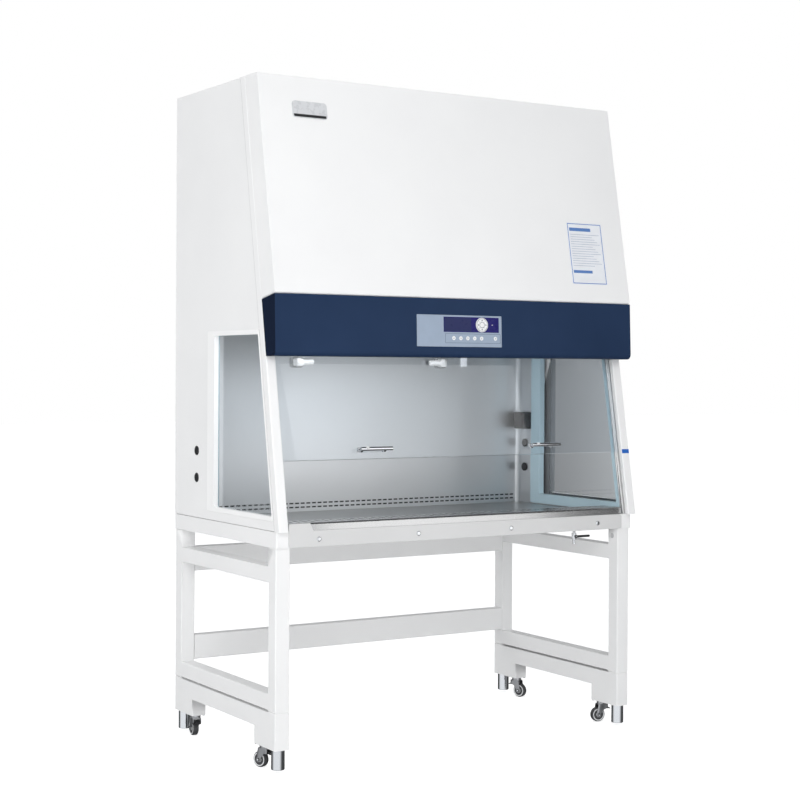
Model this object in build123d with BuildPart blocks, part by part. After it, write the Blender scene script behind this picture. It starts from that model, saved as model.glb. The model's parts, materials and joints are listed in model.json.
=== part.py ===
"""Free-standing biosafety cabinet: a sloped-front steel cabinet with a sliding glass sash,
side windows and a stainless work chamber, on a tube stand with braked casters and levelling feet.

Frame: origin on the floor under the middle of the whole outline, +X to the right, +Y to the back,
+Z up. Lengths are millimetres and angles are degrees."""

from build123d import *
from math import cos, radians, sin, tan
import os

os.makedirs("parts", exist_ok=True)

# ---- Driving dimensions ------------------------------------------------------------------
cabinet_width = 1400
cabinet_depth = 754
cabinet_height = 2172
sheet = 1.5
clearance = 0.3
panel_gap = 1.5
running_fit = 0.05

# Front slope
lean = 10
hood_lean = 10.6
foot_overhang = 24

# Base and sill
base_bottom = 695
base_height = 50
base_inset = 3
base_corner = 6
front_wall = 8
sill_side_gap = 42
sill_thickness = 2.2
sill_corner = 8
tab_length = 75
tab_slant = 12
armrest_rise = 24
armrest_depth = 96
screw_count = 4
screw_pitch = 366
screw_height = 23
screw_head_radius = 8
screw_head_height = 4
screw_shank_radius = 3

# Work chamber
wall_thickness = 40
chamber_depth = 620
chamber_height = 635
chamber_corner = 18
slot_width = 16.5
slot_height = 5
slot_pitch = 22.5
slot_first_row = 15
slot_row_pitch = 14
slot_end_gap = 36
edge_gap = 2
sleeve = 3
tray_corner = 3
intake_pitch = 26
intake_width = 8
intake_set_back = 58

# Side windows
outer_window_back = 440
outer_window_sill = 46
window_top_drop = 28
window_front = 44
inner_window_front = 48
outer_trim_back = 52
outer_trim_edge = 15
trim_rise = 3
inner_window_back = 483
inner_window_sill = 38
inner_frame_bar = 34
inner_frame_back_bar = 53
window_corner = 6
pane_thickness = 5
pane_lap = 8
pane_inset = 16

# Corner posts and sash
post_width = 33
post_depth = 32
post_corner = 4
track_front = 16.5
track_width = 9.5
glass_set_back = 18.2
glass_thickness = 6
sash_length = 580
sash_opening = 191
sash_engagement = 12
handle_spread = 670
handle_length = 118
handle_radius = 6.5
handle_height = 29
handle_stand_off = 27
handle_post_radius = 4
handle_post_inset = 16
bolt_radius = 3
glass_chamfer = 1

# Hood and control fascia
fascia_bottom = 1284
fascia_height = 192.5
fascia_foot = 7.8
fascia_set_back = 6.6
fascia_roll = 18
seam = 1
hood_round = 8
hood_sheet = 2
plate_width = 334
plate_height = 103.5
plate_thickness = 1.6
plate_corner = 2
plate_offset = -20.6
plate_center_height = 87.5
cutout_margin = 3
display_width = 219
display_height = 49.5
display_offset = 25
display_raise = 21.3
display_thickness = 2
display_lip = 2
pad_offset = 66
pad_radius = 23.7
button_radius = 6.5
button_first = -45.2
button_pitch = 27.5
buttons_in_row = 5
button_drop = 23.5
lone_button_offset = 120.4
button_proud = 0.8
button_depth = 4
button_flange = 1.2

# Stand
tube = 50
tube_wall = 2
tube_corner = 4
stand_inset = 5
stand_front = 8
stand_rear_gap = 4
upper_rail_drop = 60
lower_rail_height = 194
beam_height = 83
beam_depth = 40
upper_beam_drop = 61
lower_beam_height = 248
foot_block_bottom = 74
foot_block_length = 143
foot_rail_bottom = 130
foot_rail_top = 186
leg_bottom = 190
groove = 3
block_floor = 12

# Casters and levelling feet
wheel_radius = 25
wheel_width = 21
hub_radius = 8
tyre_round = 4
tyre_depth = 5
hub_recess = 3.5
axle_radius = 4
caster_trail = 16
caster_stand = 114
stem_radius = 6
stem_length = 22
swivel_radius = 17
swivel_height = 11
fork_plate = 2.5
fork_crown = 4
fork_gap = 1.2
fork_arm = 8
fork_tip = 6
fork_edge = 6
fork_corner = 4
pin_proud = 1
pedal_pivot_reach = -12
pedal_pivot_height = 52
pedal_pin_radius = 2.5
pedal_width = 20
pedal_length = 17
pedal_thickness = 3
pedal_boss = 5
pedal_toe = 7
pedal_drop = 8
caster_angles = {
    "front_left": 113,
    "front_right": 166,
    "rear_left": 84,
    "rear_right": -71,
}
foot_radius = 21
foot_clearance = 12
foot_rod_radius = 6
foot_rod_length = 40
foot_round = 2
foot_set_back = 27

# Rear and top
pan_depth = 14
grille_side_gap = 250
grille_depth = 360
grille_bar_pitch = 30
grille_slot_width = 18
grille_edge = 20
grille_corner = 8
rear_corner = 4
exhaust_drop = 120
media_depth = 30
filter_height = 70

# Service fittings
port_low = 135
port_pitch = 90
port_set_back = 577
port_radius = 13
port_cap_radius = 15.5
port_cap = 4
socket_height = 279
socket_size = 62
socket_depth = 36
socket_gap = 2.5
socket_hinge_drop = 5
socket_hinge_reach = 3.5
socket_pin_radius = 1.5
socket_lug = 6
socket_corner = 5
socket_round = 2
flap_thickness = 2.5
flap_margin = 5
holder_spread = 600
holder_height = 523.5
holder_plate_width = 52
holder_plate_height = 39
holder_body = 28
holder_body_depth = 24
holder_reach = 57
holder_tube_radius = 10
holder_plate_thickness = 3
drain_side_gap = 210
drain_set_back = 55
drain_radius = 5
drain_drop = 50
drain_valve_drop = 24
valve_radius = 9
valve_length = 22
lever_length = 56
lever_width = 8
lever_thickness = 3
lever_stem_radius = 3
lever_boss_radius = 5.6

# ---- Derived places ----------------------------------------------------------------------
half_width = cabinet_width / 2
total_depth = cabinet_depth + foot_overhang
front = foot_overhang - total_depth / 2
back = total_depth / 2
middle = (front + back) / 2
rise = tan(radians(lean))
hood_rise = tan(radians(hood_lean))
base_top = base_bottom + base_height
armrest_top = base_top + armrest_rise
chamber_side = half_width - wall_thickness
chamber_back = front + chamber_depth
chamber_top = base_top + chamber_height
shell_side = half_width - trim_rise
sash_bottom = armrest_top + sash_opening
fascia_top = fascia_bottom + fascia_height
post_inner = half_width - post_width
window_top = chamber_top - window_top_drop


def lean_y(height, set_back=0):
    """Depth of the sloped front plane at a height, moved back by set_back."""
    return front - foot_overhang + (height - base_top) * rise + set_back


def hood_y(height):
    """Depth of the hood's front face at a height."""
    return front + fascia_foot + fascia_set_back + (height - fascia_top) * hood_rise


def facing(depth):
    """Plane that faces the front, with X to the right and its second axis up."""
    return Plane(origin=(0, depth, 0), x_dir=(1, 0, 0), z_dir=(0, -1, 0))


def sloped(height, set_back, angle=lean):
    """Plane along the sloped front, with its second axis up the slope."""
    return Plane(
        origin=(0, lean_y(height, set_back), height),
        x_dir=(1, 0, 0),
        z_dir=(0, -cos(radians(angle)), sin(radians(angle))),
    )


def window_points(back_depth, sill, front_set_back, top):
    """Corners of a side window whose front edge follows the slope."""
    return [
        (lean_y(sill, front_set_back), sill),
        (back_depth, sill),
        (back_depth, top),
        (lean_y(top, front_set_back), top),
    ]


def save(piece, name):
    piece.part.label = name
    export_step(piece.part, f"parts/{name}.step")


# ---- Stand: two welded side frames, two rear beams, two foot frames ------------------------
leg_x = half_width - stand_inset - tube / 2
leg_front = front + stand_front + tube / 2
leg_rear = back - stand_rear_gap - tube / 2
leg_span = leg_rear - leg_front
leg_middle = (leg_front + leg_rear) / 2
upper_rail_center = base_bottom - upper_rail_drop - tube / 2
lower_rail_center = lower_rail_height + tube / 2


def make_side_frame(side):
    gap = (leg_span - tube) / 2
    with BuildPart() as side_frame:
        with BuildSketch(Plane.YZ.offset(side * leg_x)):
            with Locations((leg_middle, (leg_bottom + base_bottom) / 2)):
                Rectangle(leg_span + tube, base_bottom - leg_bottom)
            with Locations((leg_middle, (upper_rail_center + lower_rail_center) / 2)):
                Rectangle(2 * gap, upper_rail_center - lower_rail_center - tube, mode=Mode.SUBTRACT)
        extrude(amount=tube / 2, both=True)
        fillet(side_frame.faces().filter_by(Axis.X).edges(), tube_corner)
        with BuildSketch(Plane.YZ.offset(side * leg_x)):
            with Locations((leg_middle, (leg_bottom + lower_rail_height) / 2)):
                Rectangle(2 * gap, lower_rail_height - leg_bottom)
            with Locations((leg_middle, base_bottom - upper_rail_drop / 2)):
                Rectangle(2 * gap, upper_rail_drop)
        extrude(amount=tube, both=True, mode=Mode.SUBTRACT)
        with BuildSketch(Plane.YZ.offset(side * leg_x)):
            with Locations((leg_middle, (leg_bottom + base_bottom) / 2)):
                with GridLocations(leg_span, 1, 2, 1):
                    Rectangle(tube - 2 * tube_wall, base_bottom - leg_bottom - 2 * tube_wall)
            with Locations((leg_middle, upper_rail_center), (leg_middle, lower_rail_center)):
                Rectangle(2 * gap, tube - 2 * tube_wall)
        extrude(amount=tube / 2 - tube_wall, both=True, mode=Mode.SUBTRACT)
    return side_frame


def make_rear_beam(bottom):
    beam_front = leg_rear - tube / 2
    with BuildPart() as rear_beam:
        with BuildSketch(Plane.YZ):
            with Locations((beam_front + beam_depth / 2, bottom + beam_height / 2)):
                RectangleRounded(beam_depth, beam_height, tube_corner)
                RectangleRounded(
                    beam_depth - 2 * tube_wall,
                    beam_height - 2 * tube_wall,
                    tube_corner - tube_wall,
                    mode=Mode.SUBTRACT,
                )
        extrude(amount=leg_x - tube / 2, both=True)
    return rear_beam


def make_foot_frame(side):
    frame_front = leg_front - tube / 2
    frame_rear = leg_rear + tube / 2
    profile = [
        (frame_front, foot_block_bottom),
        (frame_front + foot_block_length, foot_block_bottom),
        (frame_front + foot_block_length, foot_rail_bottom),
        (frame_rear - foot_block_length, foot_rail_bottom),
        (frame_rear - foot_block_length, foot_block_bottom),
        (frame_rear, foot_block_bottom),
        (frame_rear, leg_bottom),
        (frame_rear - tube, leg_bottom),
        (frame_rear - tube, foot_rail_top),
        (frame_front + tube, foot_rail_top),
        (frame_front + tube, leg_bottom),
        (frame_front, leg_bottom),
    ]
    holes = [
        (side * leg_x, frame_front + foot_set_back),
        (side * leg_x, frame_front + caster_stand),
        (side * leg_x, frame_rear - foot_set_back),
        (side * leg_x, frame_rear - caster_stand),
    ]
    with BuildPart() as foot_frame:
        with BuildSketch(Plane.YZ.offset(side * leg_x)):
            Polygon(*profile, align=None)
        extrude(amount=tube / 2, both=True)
        fillet(foot_frame.edges().filter_by(Axis.Z), tube_corner)
        chamfer(foot_frame.faces().group_by(Axis.Z)[-1].edges(), groove)
        with BuildSketch(Plane.YZ.offset(side * leg_x)):
            Polygon(*profile, align=None)
            offset(amount=-tube_wall, kind=Kind.INTERSECTION, mode=Mode.REPLACE)
            with Locations((middle, foot_block_bottom)):
                Rectangle(cabinet_depth, 2 * block_floor, mode=Mode.SUBTRACT)
        extrude(amount=tube / 2 - tube_wall, both=True, mode=Mode.SUBTRACT)
        with BuildSketch(Plane.XY.offset(foot_block_bottom)):
            with Locations(*holes):
                Circle(foot_rod_radius + running_fit)
        extrude(amount=block_floor, mode=Mode.SUBTRACT)
    return foot_frame


for side, word in ((-1, "left"), (1, "right")):
    save(make_side_frame(side), f"side_frame_{word}")
    save(make_foot_frame(side), f"foot_frame_{word}")
save(make_rear_beam(base_bottom - upper_beam_drop - beam_height), "rear_beam_upper")
save(make_rear_beam(lower_beam_height), "rear_beam_lower")


# ---- Casters and levelling feet --------------------------------------------------------------
def caster_place(corner):
    """Stem position, trail direction and side plane of one caster."""
    side = -1 if "left" in corner else 1
    stem_y = leg_front - tube / 2 + caster_stand
    if "rear" in corner:
        stem_y = leg_rear + tube / 2 - caster_stand
    turn = radians(caster_angles[corner])
    trail = Vector(cos(turn), sin(turn), 0)
    stem = Vector(side * leg_x, stem_y, 0)
    side_plane = Plane(origin=stem, x_dir=trail, z_dir=trail.cross(Vector(0, 0, 1)))
    return stem, side_plane


swivel_top = foot_block_bottom - clearance
crown_top = swivel_top - swivel_height
fork_outer = wheel_width / 2 + fork_gap + fork_plate
fork_inner = wheel_width / 2 + fork_gap
pivot_x = pedal_pivot_reach
pivot_z = pedal_pivot_height


def make_fork(corner):
    stem, side_plane = caster_place(corner)
    with BuildPart() as fork:
        with BuildSketch(side_plane):
            with BuildLine():
                Polyline(
                    (pivot_x - fork_edge, crown_top),
                    (swivel_radius, crown_top),
                    (caster_trail + fork_arm, wheel_radius + fork_tip / 2),
                    (caster_trail + fork_tip, wheel_radius - fork_tip),
                    (caster_trail - fork_tip, wheel_radius - fork_tip),
                    (caster_trail - fork_arm, wheel_radius + fork_tip / 2),
                    (pivot_x + fork_edge, pivot_z - fork_edge),
                    (pivot_x - fork_edge, pivot_z - fork_edge),
                    close=True,
                )
            make_face()
            fillet(vertices().group_by(Axis.Y)[0], fork_corner)
        extrude(amount=fork_outer, both=True)
        with BuildSketch(side_plane):
            with Locations((caster_trail, crown_top - fork_crown - wheel_radius * 2)):
                Rectangle(wheel_radius * 4, wheel_radius * 4)
        extrude(amount=fork_inner, both=True, mode=Mode.SUBTRACT)
        with BuildSketch(Plane(origin=stem + Vector(0, 0, crown_top), z_dir=(0, 0, 1))):
            Circle(swivel_radius)
        extrude(amount=swivel_height)
        chamfer(fork.edges().filter_by(GeomType.CIRCLE).group_by(Axis.Z)[-1], sheet)
        with BuildSketch(Plane(origin=stem + Vector(0, 0, swivel_top), z_dir=(0, 0, 1))):
            Circle(stem_radius)
        extrude(amount=stem_length)
        with BuildSketch(side_plane):
            with Locations((caster_trail, wheel_radius)):
                Circle(axle_radius)
            with Locations((pivot_x, pivot_z)):
                Circle(pedal_pin_radius)
        extrude(amount=fork_outer + pin_proud, both=True)
    return fork


def make_wheel(corner):
    side_plane = caster_place(corner)[1]
    with BuildPart() as wheel:
        with BuildSketch(side_plane):
            with Locations((caster_trail, wheel_radius)):
                Circle(wheel_radius)
        extrude(amount=wheel_width / 2, both=True)
        fillet(wheel.edges().filter_by(GeomType.CIRCLE), tyre_round)
        for way in (1, -1):
            with BuildSketch(side_plane.offset(way * wheel_width / 2)):
                with Locations((caster_trail, wheel_radius)):
                    Circle(wheel_radius - tyre_depth)
                    Circle(hub_radius, mode=Mode.SUBTRACT)
            extrude(amount=-way * hub_recess, mode=Mode.SUBTRACT)
        with BuildSketch(side_plane):
            with Locations((caster_trail, wheel_radius)):
                Circle(axle_radius + running_fit)
        extrude(amount=wheel_width, both=True, mode=Mode.SUBTRACT)
    return wheel


def make_pedal(corner):
    side_plane = caster_place(corner)[1]
    with BuildPart() as pedal:
        with BuildSketch(side_plane):
            with BuildLine():
                Polyline(
                    (pivot_x + pedal_boss, pivot_z - pedal_thickness),
                    (pivot_x + pedal_toe, pivot_z - pedal_drop),
                    (pivot_x + pedal_thickness, pivot_z - pedal_drop - pedal_thickness / 3),
                    (pivot_x - pedal_thickness, pivot_z - pedal_boss),
                    (pivot_x - pedal_length, pivot_z - pedal_drop),
                    (pivot_x - pedal_length, pivot_z - pedal_drop + pedal_thickness),
                    (pivot_x - pedal_thickness, pivot_z + pedal_thickness / 3),
                    close=True,
                )
            make_face()
            with Locations((pivot_x, pivot_z)):
                Circle(pedal_boss)
                Circle(pedal_pin_radius + running_fit, mode=Mode.SUBTRACT)
        extrude(amount=pedal_width / 2, both=True)
    return pedal


def make_levelling_foot(side, depth):
    with BuildPart() as foot:
        with BuildSketch(Plane.XY.offset(foot_clearance)):
            with Locations((side * leg_x, depth)):
                Circle(foot_radius)
        extrude(amount=swivel_top - foot_clearance)
        fillet(foot.edges().filter_by(GeomType.CIRCLE), foot_round)
        with BuildSketch(Plane.XY.offset(swivel_top)):
            with Locations((side * leg_x, depth)):
                Circle(foot_rod_radius)
        extrude(amount=foot_rod_length)
    return foot


for corner in caster_angles:
    side = -1 if "left" in corner else 1
    foot_depth = leg_front - tube / 2 + foot_set_back
    if "rear" in corner:
        foot_depth = leg_rear + tube / 2 - foot_set_back
    save(make_fork(corner), f"caster_fork_{corner}")
    save(make_wheel(corner), f"caster_wheel_{corner}")
    save(make_pedal(corner), f"brake_pedal_{corner}")
    save(make_levelling_foot(side, foot_depth), f"levelling_foot_{corner}")

# ---- Base pan, sill panel with its raised end tab, dome screws -------------------------------
base_width = cabinet_width - 2 * base_inset
sill_half = half_width - base_inset - sill_side_gap
first_screw = -(screw_count - 1) / 2 * screw_pitch
screw_places = [(first_screw + i * screw_pitch, base_bottom + screw_height) for i in range(screw_count)]
drain_x = half_width - drain_side_gap
drain_y = front + drain_set_back

with BuildPart() as base_pan:
    with BuildSketch(Plane.XY.offset(base_bottom)):
        with Locations((0, middle)):
            RectangleRounded(base_width, cabinet_depth, base_corner)
    extrude(amount=base_height)
    with BuildSketch(Plane.XY.offset(base_bottom + sheet)):
        with Locations((0, middle + (front_wall - sheet) / 2)):
            Rectangle(base_width - 2 * front_wall, cabinet_depth - front_wall - sheet)
    extrude(amount=base_height, mode=Mode.SUBTRACT)
    with BuildSketch(facing(front)):
        with Locations((0, base_bottom + base_height / 2)):
            Rectangle(2 * (sill_half + panel_gap / 2), base_height)
    extrude(amount=-(sill_thickness + clearance), mode=Mode.SUBTRACT)
    with BuildSketch(facing(front)):
        with Locations(*screw_places):
            Circle(screw_shank_radius + clearance)
    extrude(amount=-2 * front_wall, mode=Mode.SUBTRACT)
    with BuildSketch(Plane.XY.offset(base_bottom)):
        with Locations((drain_x, drain_y)):
            Circle(drain_radius + clearance)
    extrude(amount=sheet, mode=Mode.SUBTRACT)
save(base_pan, "base_pan")

sill_middle = base_bottom + base_height / 2
with BuildPart() as sill_panel:
    with BuildSketch(facing(front)) as sill_outline:
        with Locations((0, sill_middle)):
            Rectangle(2 * sill_half, base_height)
        fillet(sill_outline.vertices(), sill_corner)
        Polygon(
            (-sill_half, sill_middle),
            (tab_length + tab_slant - sill_half, sill_middle),
            (tab_length + tab_slant - sill_half, base_top),
            (tab_length - sill_half, armrest_top),
            (-sill_half, armrest_top),
            align=None,
        )
        fillet(sill_outline.vertices().group_by(Axis.Y)[-1], sheet * 2)
        with Locations(*screw_places):
            Circle(screw_shank_radius + clearance, mode=Mode.SUBTRACT)
    extrude(amount=-sill_thickness)
    fillet(sill_panel.faces().sort_by(Axis.Y)[0].outer_wire().edges(), sheet / 2)
save(sill_panel, "sill_panel")

with BuildPart() as sill_screws:
    with BuildSketch(facing(front)):
        with Locations(*screw_places):
            Circle(screw_head_radius)
    extrude(amount=screw_head_height)
    fillet(sill_screws.faces().group_by(Axis.Y)[0].edges(), screw_head_height - clearance)
    with BuildSketch(facing(front)):
        with Locations(*screw_places):
            Circle(screw_shank_radius)
    extrude(amount=-(front_wall + sill_thickness))
save(sill_screws, "sill_screws")

# ---- Armrest with the air intake grille, and the work tray ------------------------------------
armrest_front = front + sill_thickness + 3 * clearance
armrest_back = front + armrest_depth
intake_count = int(2 * sill_half / intake_pitch) - 1

with BuildPart() as armrest:
    with BuildSketch(Plane.YZ):
        with BuildLine():
            FilletPolyline(
                (armrest_front, base_top + clearance),
                (armrest_front, armrest_top),
                (armrest_back, armrest_top),
                (armrest_back, base_top - armrest_rise / 2),
                radius=armrest_rise / 3,
            )
            offset(amount=sheet, side=Side.RIGHT)
        make_face()
    extrude(amount=sill_half - clearance, both=True)
    with BuildSketch(Plane.XY.offset(armrest_top - sheet * 2)):
        with Locations((0, front + intake_set_back)):
            with GridLocations(intake_pitch, 1, intake_count, 1):
                Rectangle(intake_width, armrest_depth / 2)
    extrude(amount=sheet * 3, mode=Mode.SUBTRACT)
save(armrest, "armrest")

tray_front = armrest_back + 2 * clearance
tray_back = chamber_back - edge_gap
tray_half = chamber_side - edge_gap
with BuildPart() as work_tray:
    with BuildSketch(Plane.XY.offset(base_top)):
        with Locations((0, (tray_front + tray_back) / 2)):
            RectangleRounded(2 * tray_half, tray_back - tray_front, tray_corner)
    extrude(amount=-armrest_rise / 2)
    fillet(work_tray.faces().sort_by(Axis.Z)[-1].edges(), sheet)
    with BuildSketch(Plane.XY.offset(base_top - sheet)):
        with Locations((0, (tray_front + tray_back) / 2)):
            Rectangle(2 * (tray_half - sheet), tray_back - tray_front - 2 * sheet)
    extrude(amount=-armrest_rise, mode=Mode.SUBTRACT)
save(work_tray, "work_tray")

# ---- Chamber liner: one folded stainless sheet with round corners, slots and windows -----------
liner_bottom = base_top + clearance
liner_front = post_depth + edge_gap
inner_window = window_points(
    front + inner_window_back, base_top + inner_window_sill, inner_window_front, window_top
)
outer_window = window_points(
    front + outer_window_back, base_top + outer_window_sill, window_front, window_top
)
port_places = [(front + port_set_back, base_top + port_low + i * port_pitch) for i in range(2)]
slots_per_row = int((2 * chamber_side - slot_end_gap) / slot_pitch)

with BuildPart() as chamber_liner:
    with BuildSketch(Plane.XY.offset(liner_bottom)):
        with BuildLine():
            FilletPolyline(
                (-chamber_side, lean_y(liner_bottom, liner_front)),
                (-chamber_side, chamber_back),
                (chamber_side, chamber_back),
                (chamber_side, lean_y(liner_bottom, liner_front)),
                radius=chamber_corner,
            )
            offset(amount=sheet, side=Side.LEFT)
        make_face()
    extrude(amount=chamber_top - liner_bottom)
    with BuildSketch(Plane.YZ):
        Polygon(
            (lean_y(liner_bottom, liner_front) - sheet, liner_bottom - sheet),
            (lean_y(liner_bottom, liner_front), liner_bottom),
            (lean_y(chamber_top, liner_front), chamber_top),
            (lean_y(liner_bottom, liner_front) - sheet, chamber_top + sheet),
            align=None,
        )
    extrude(amount=half_width, both=True, mode=Mode.SUBTRACT)
    with BuildSketch(Plane.YZ):
        Polygon(*inner_window, align=None)
        offset(amount=sleeve + panel_gap, kind=Kind.INTERSECTION, mode=Mode.REPLACE)
        with Locations(*port_places):
            Circle(port_radius + clearance)
    extrude(amount=half_width, both=True, mode=Mode.SUBTRACT)
    with BuildSketch(facing(chamber_back)):
        with Locations((0, base_top + slot_first_row + slot_row_pitch / 2)):
            with GridLocations(slot_pitch, slot_row_pitch, slots_per_row, 2):
                Rectangle(slot_width, slot_height)
    extrude(amount=-chamber_corner, mode=Mode.SUBTRACT)
save(chamber_liner, "chamber_liner")


# ---- Side panels, posts, panes and inner window frames ----------------------------------------
def make_side_panel(side):
    inner_face = chamber_side + sheet + clearance
    outline = [
        (lean_y(base_top + panel_gap, post_depth + panel_gap), base_top + panel_gap),
        (back, base_top + panel_gap),
        (back, cabinet_height),
        (lean_y(cabinet_height, post_depth + panel_gap), cabinet_height),
    ]
    trim = window_points(
        front + outer_window_back + outer_trim_back,
        base_top + outer_window_sill - outer_trim_edge,
        window_front - outer_trim_edge / 2,
        window_top + outer_trim_edge,
    )
    with BuildPart() as side_panel:
        with BuildSketch(Plane.YZ.offset(side * inner_face)):
            Polygon(*outline, align=None)
        extrude(amount=side * (shell_side - inner_face))
        outer_face = side_panel.faces().sort_by(Axis.X)[-1 if side > 0 else 0]
        fillet(outer_face.edges(), sheet)
        with BuildSketch(Plane.YZ.offset(side * inner_face)):
            Polygon(*outline, align=None)
            offset(amount=-sheet, kind=Kind.INTERSECTION, mode=Mode.REPLACE)
        extrude(amount=side * (shell_side - sheet - inner_face), mode=Mode.SUBTRACT)
        with BuildSketch(Plane.YZ.offset(side * (shell_side - sheet))) as trim_ring:
            Polygon(*trim, align=None)
            fillet(trim_ring.vertices(), window_corner)
        extrude(amount=side * (sheet + trim_rise))
        fillet(side_panel.faces().sort_by(Axis.X)[-1 if side > 0 else 0].edges(), sheet)
        with BuildSketch(Plane.YZ.offset(side * (half_width - pane_inset + clearance))):
            Polygon(*outer_window, align=None)
            offset(amount=sheet, kind=Kind.INTERSECTION, mode=Mode.REPLACE)
        extrude(amount=side * (pane_inset - clearance - trim_rise / 2))
        with BuildSketch(Plane.YZ.offset(side * inner_face)) as opening:
            Polygon(*outer_window, align=None)
            fillet(opening.vertices(), window_corner)
            with Locations(*port_places):
                Circle(port_radius + clearance)
        extrude(amount=side * wall_thickness, mode=Mode.SUBTRACT)
    return side_panel


def make_pane(side):
    with BuildPart() as pane:
        with BuildSketch(Plane.YZ.offset(side * (half_width - pane_inset))):
            Polygon(*outer_window, align=None)
            offset(amount=pane_lap, kind=Kind.INTERSECTION, mode=Mode.REPLACE)
        extrude(amount=-side * pane_thickness)
    return pane


def make_window_frame(side):
    pane_face = half_width - pane_inset - pane_thickness - clearance
    bar = inner_frame_bar
    flange = window_points(
        front + inner_window_back + inner_frame_back_bar,
        base_top + inner_window_sill - bar,
        liner_front + edge_gap,
        chamber_top - edge_gap,
    )
    with BuildPart() as window_frame:
        with BuildSketch(Plane.YZ.offset(side * (chamber_side - clearance))) as flange_outline:
            Polygon(*flange, align=None)
            fillet(flange_outline.vertices(), window_corner)
        extrude(amount=-side * sleeve)
        with BuildSketch(Plane.YZ.offset(side * (chamber_side - clearance))):
            Polygon(*inner_window, align=None)
            offset(amount=sleeve, kind=Kind.INTERSECTION, mode=Mode.REPLACE)
        extrude(amount=side * (pane_face - chamber_side + clearance))
        with BuildSketch(Plane.YZ.offset(side * (chamber_side - 2 * sleeve))) as opening:
            Polygon(*inner_window, align=None)
            fillet(opening.vertices(), window_corner)
        extrude(amount=side * wall_thickness, mode=Mode.SUBTRACT)
    return window_frame


def make_corner_post(side):
    slope_length = (cabinet_height - base_top - clearance) / cos(radians(lean))
    foot_height = base_top + clearance
    foot_front = lean_y(foot_height)
    center_x = side * (half_width - post_width / 2)
    slope = (0, sin(radians(lean)), cos(radians(lean)))
    with BuildPart() as corner_post:
        with BuildSketch(Plane.XY.offset(foot_height)) as section:
            with Locations((center_x, foot_front + post_depth / 2)):
                Rectangle(post_width, post_depth)
            fillet(section.vertices().group_by(Axis.Y)[0], post_corner)
            with Locations((center_x, foot_front + post_depth / 2)):
                Rectangle(post_width - 2 * sheet, post_depth - 4 * sheet, mode=Mode.SUBTRACT)
            with Locations((side * post_inner, foot_front + track_front + track_width / 2)):
                Rectangle(4 * sheet, track_width, mode=Mode.SUBTRACT)
        extrude(amount=slope_length, dir=slope)
        with BuildSketch(Plane.XY.offset(foot_height)) as foot_cap:
            with Locations((center_x, foot_front + post_depth / 2)):
                Rectangle(post_width, post_depth)
            fillet(foot_cap.vertices().group_by(Axis.Y)[0], post_corner)
        extrude(amount=sheet, dir=slope)
        with BuildSketch(Plane.XY.offset(cabinet_height - sheet)) as top_cap:
            with Locations((center_x, lean_y(cabinet_height - sheet) + post_depth / 2)):
                Rectangle(post_width, post_depth)
            fillet(top_cap.vertices().group_by(Axis.Y)[0], post_corner)
        extrude(amount=sheet / cos(radians(lean)), dir=slope)
    return corner_post


for side, word in ((-1, "left"), (1, "right")):
    save(make_side_panel(side), f"side_panel_{word}")
    save(make_pane(side), f"side_pane_{word}")
    save(make_window_frame(side), f"window_frame_{word}")
    save(make_corner_post(side), f"corner_post_{word}")

# ---- Rear panel, top panel, exhaust grille, supply filter and blower ---------------------------
panel_half = chamber_side + sheet
top_front = lean_y(cabinet_height, clearance)
grille_front = lean_y(cabinet_height, post_depth + edge_gap)
grille_center = (grille_front + back) / 2
grille_width = cabinet_width - 2 * grille_side_gap
grille_bar_count = int((grille_width - 2 * grille_edge) / grille_bar_pitch)
grille_row = (grille_depth - 2 * grille_edge) / 2

with BuildPart() as rear_panel:
    with BuildSketch(facing(back)):
        with Locations((0, (base_top + cabinet_height - sheet) / 2)):
            RectangleRounded(2 * panel_half, cabinet_height - base_top - 3 * sheet, rear_corner)
    extrude(amount=pan_depth)
    fillet(rear_panel.faces().sort_by(Axis.Y)[-1].edges(), sheet)
    with BuildSketch(facing(back - sheet)):
        with Locations((0, (base_top + cabinet_height - sheet) / 2)):
            Rectangle(2 * (panel_half - sheet), cabinet_height - base_top - 5 * sheet)
    extrude(amount=pan_depth, mode=Mode.SUBTRACT)
save(rear_panel, "rear_panel")

with BuildPart() as top_panel:
    with BuildSketch(Plane.XY.offset(cabinet_height - sheet)):
        with Locations((0, (top_front + back - pan_depth) / 2)):
            Rectangle(2 * panel_half, back - pan_depth - top_front - edge_gap)
    extrude(amount=-pan_depth)
    with BuildSketch(Plane.XY.offset(cabinet_height - 2 * sheet)):
        with Locations((0, (top_front + back - pan_depth) / 2)):
            Rectangle(2 * (panel_half - sheet), back - pan_depth - top_front - edge_gap - 2 * sheet)
    extrude(amount=-pan_depth, mode=Mode.SUBTRACT)
    with BuildSketch(Plane.XY.offset(cabinet_height - sheet)):
        with Locations((0, grille_center)):
            Rectangle(grille_width - 2 * grille_edge, grille_depth - 2 * grille_edge)
    extrude(amount=-pan_depth, mode=Mode.SUBTRACT)
save(top_panel, "top_panel")

with BuildPart() as exhaust_grille:
    with BuildSketch(Plane.XY.offset(cabinet_height - sheet)):
        with Locations((0, grille_center)):
            RectangleRounded(grille_width, grille_depth, grille_corner)
            with GridLocations(grille_bar_pitch, grille_row, grille_bar_count, 2):
                Rectangle(grille_slot_width, grille_row - grille_edge, mode=Mode.SUBTRACT)
    extrude(amount=sheet)
save(exhaust_grille, "exhaust_grille")

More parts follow.
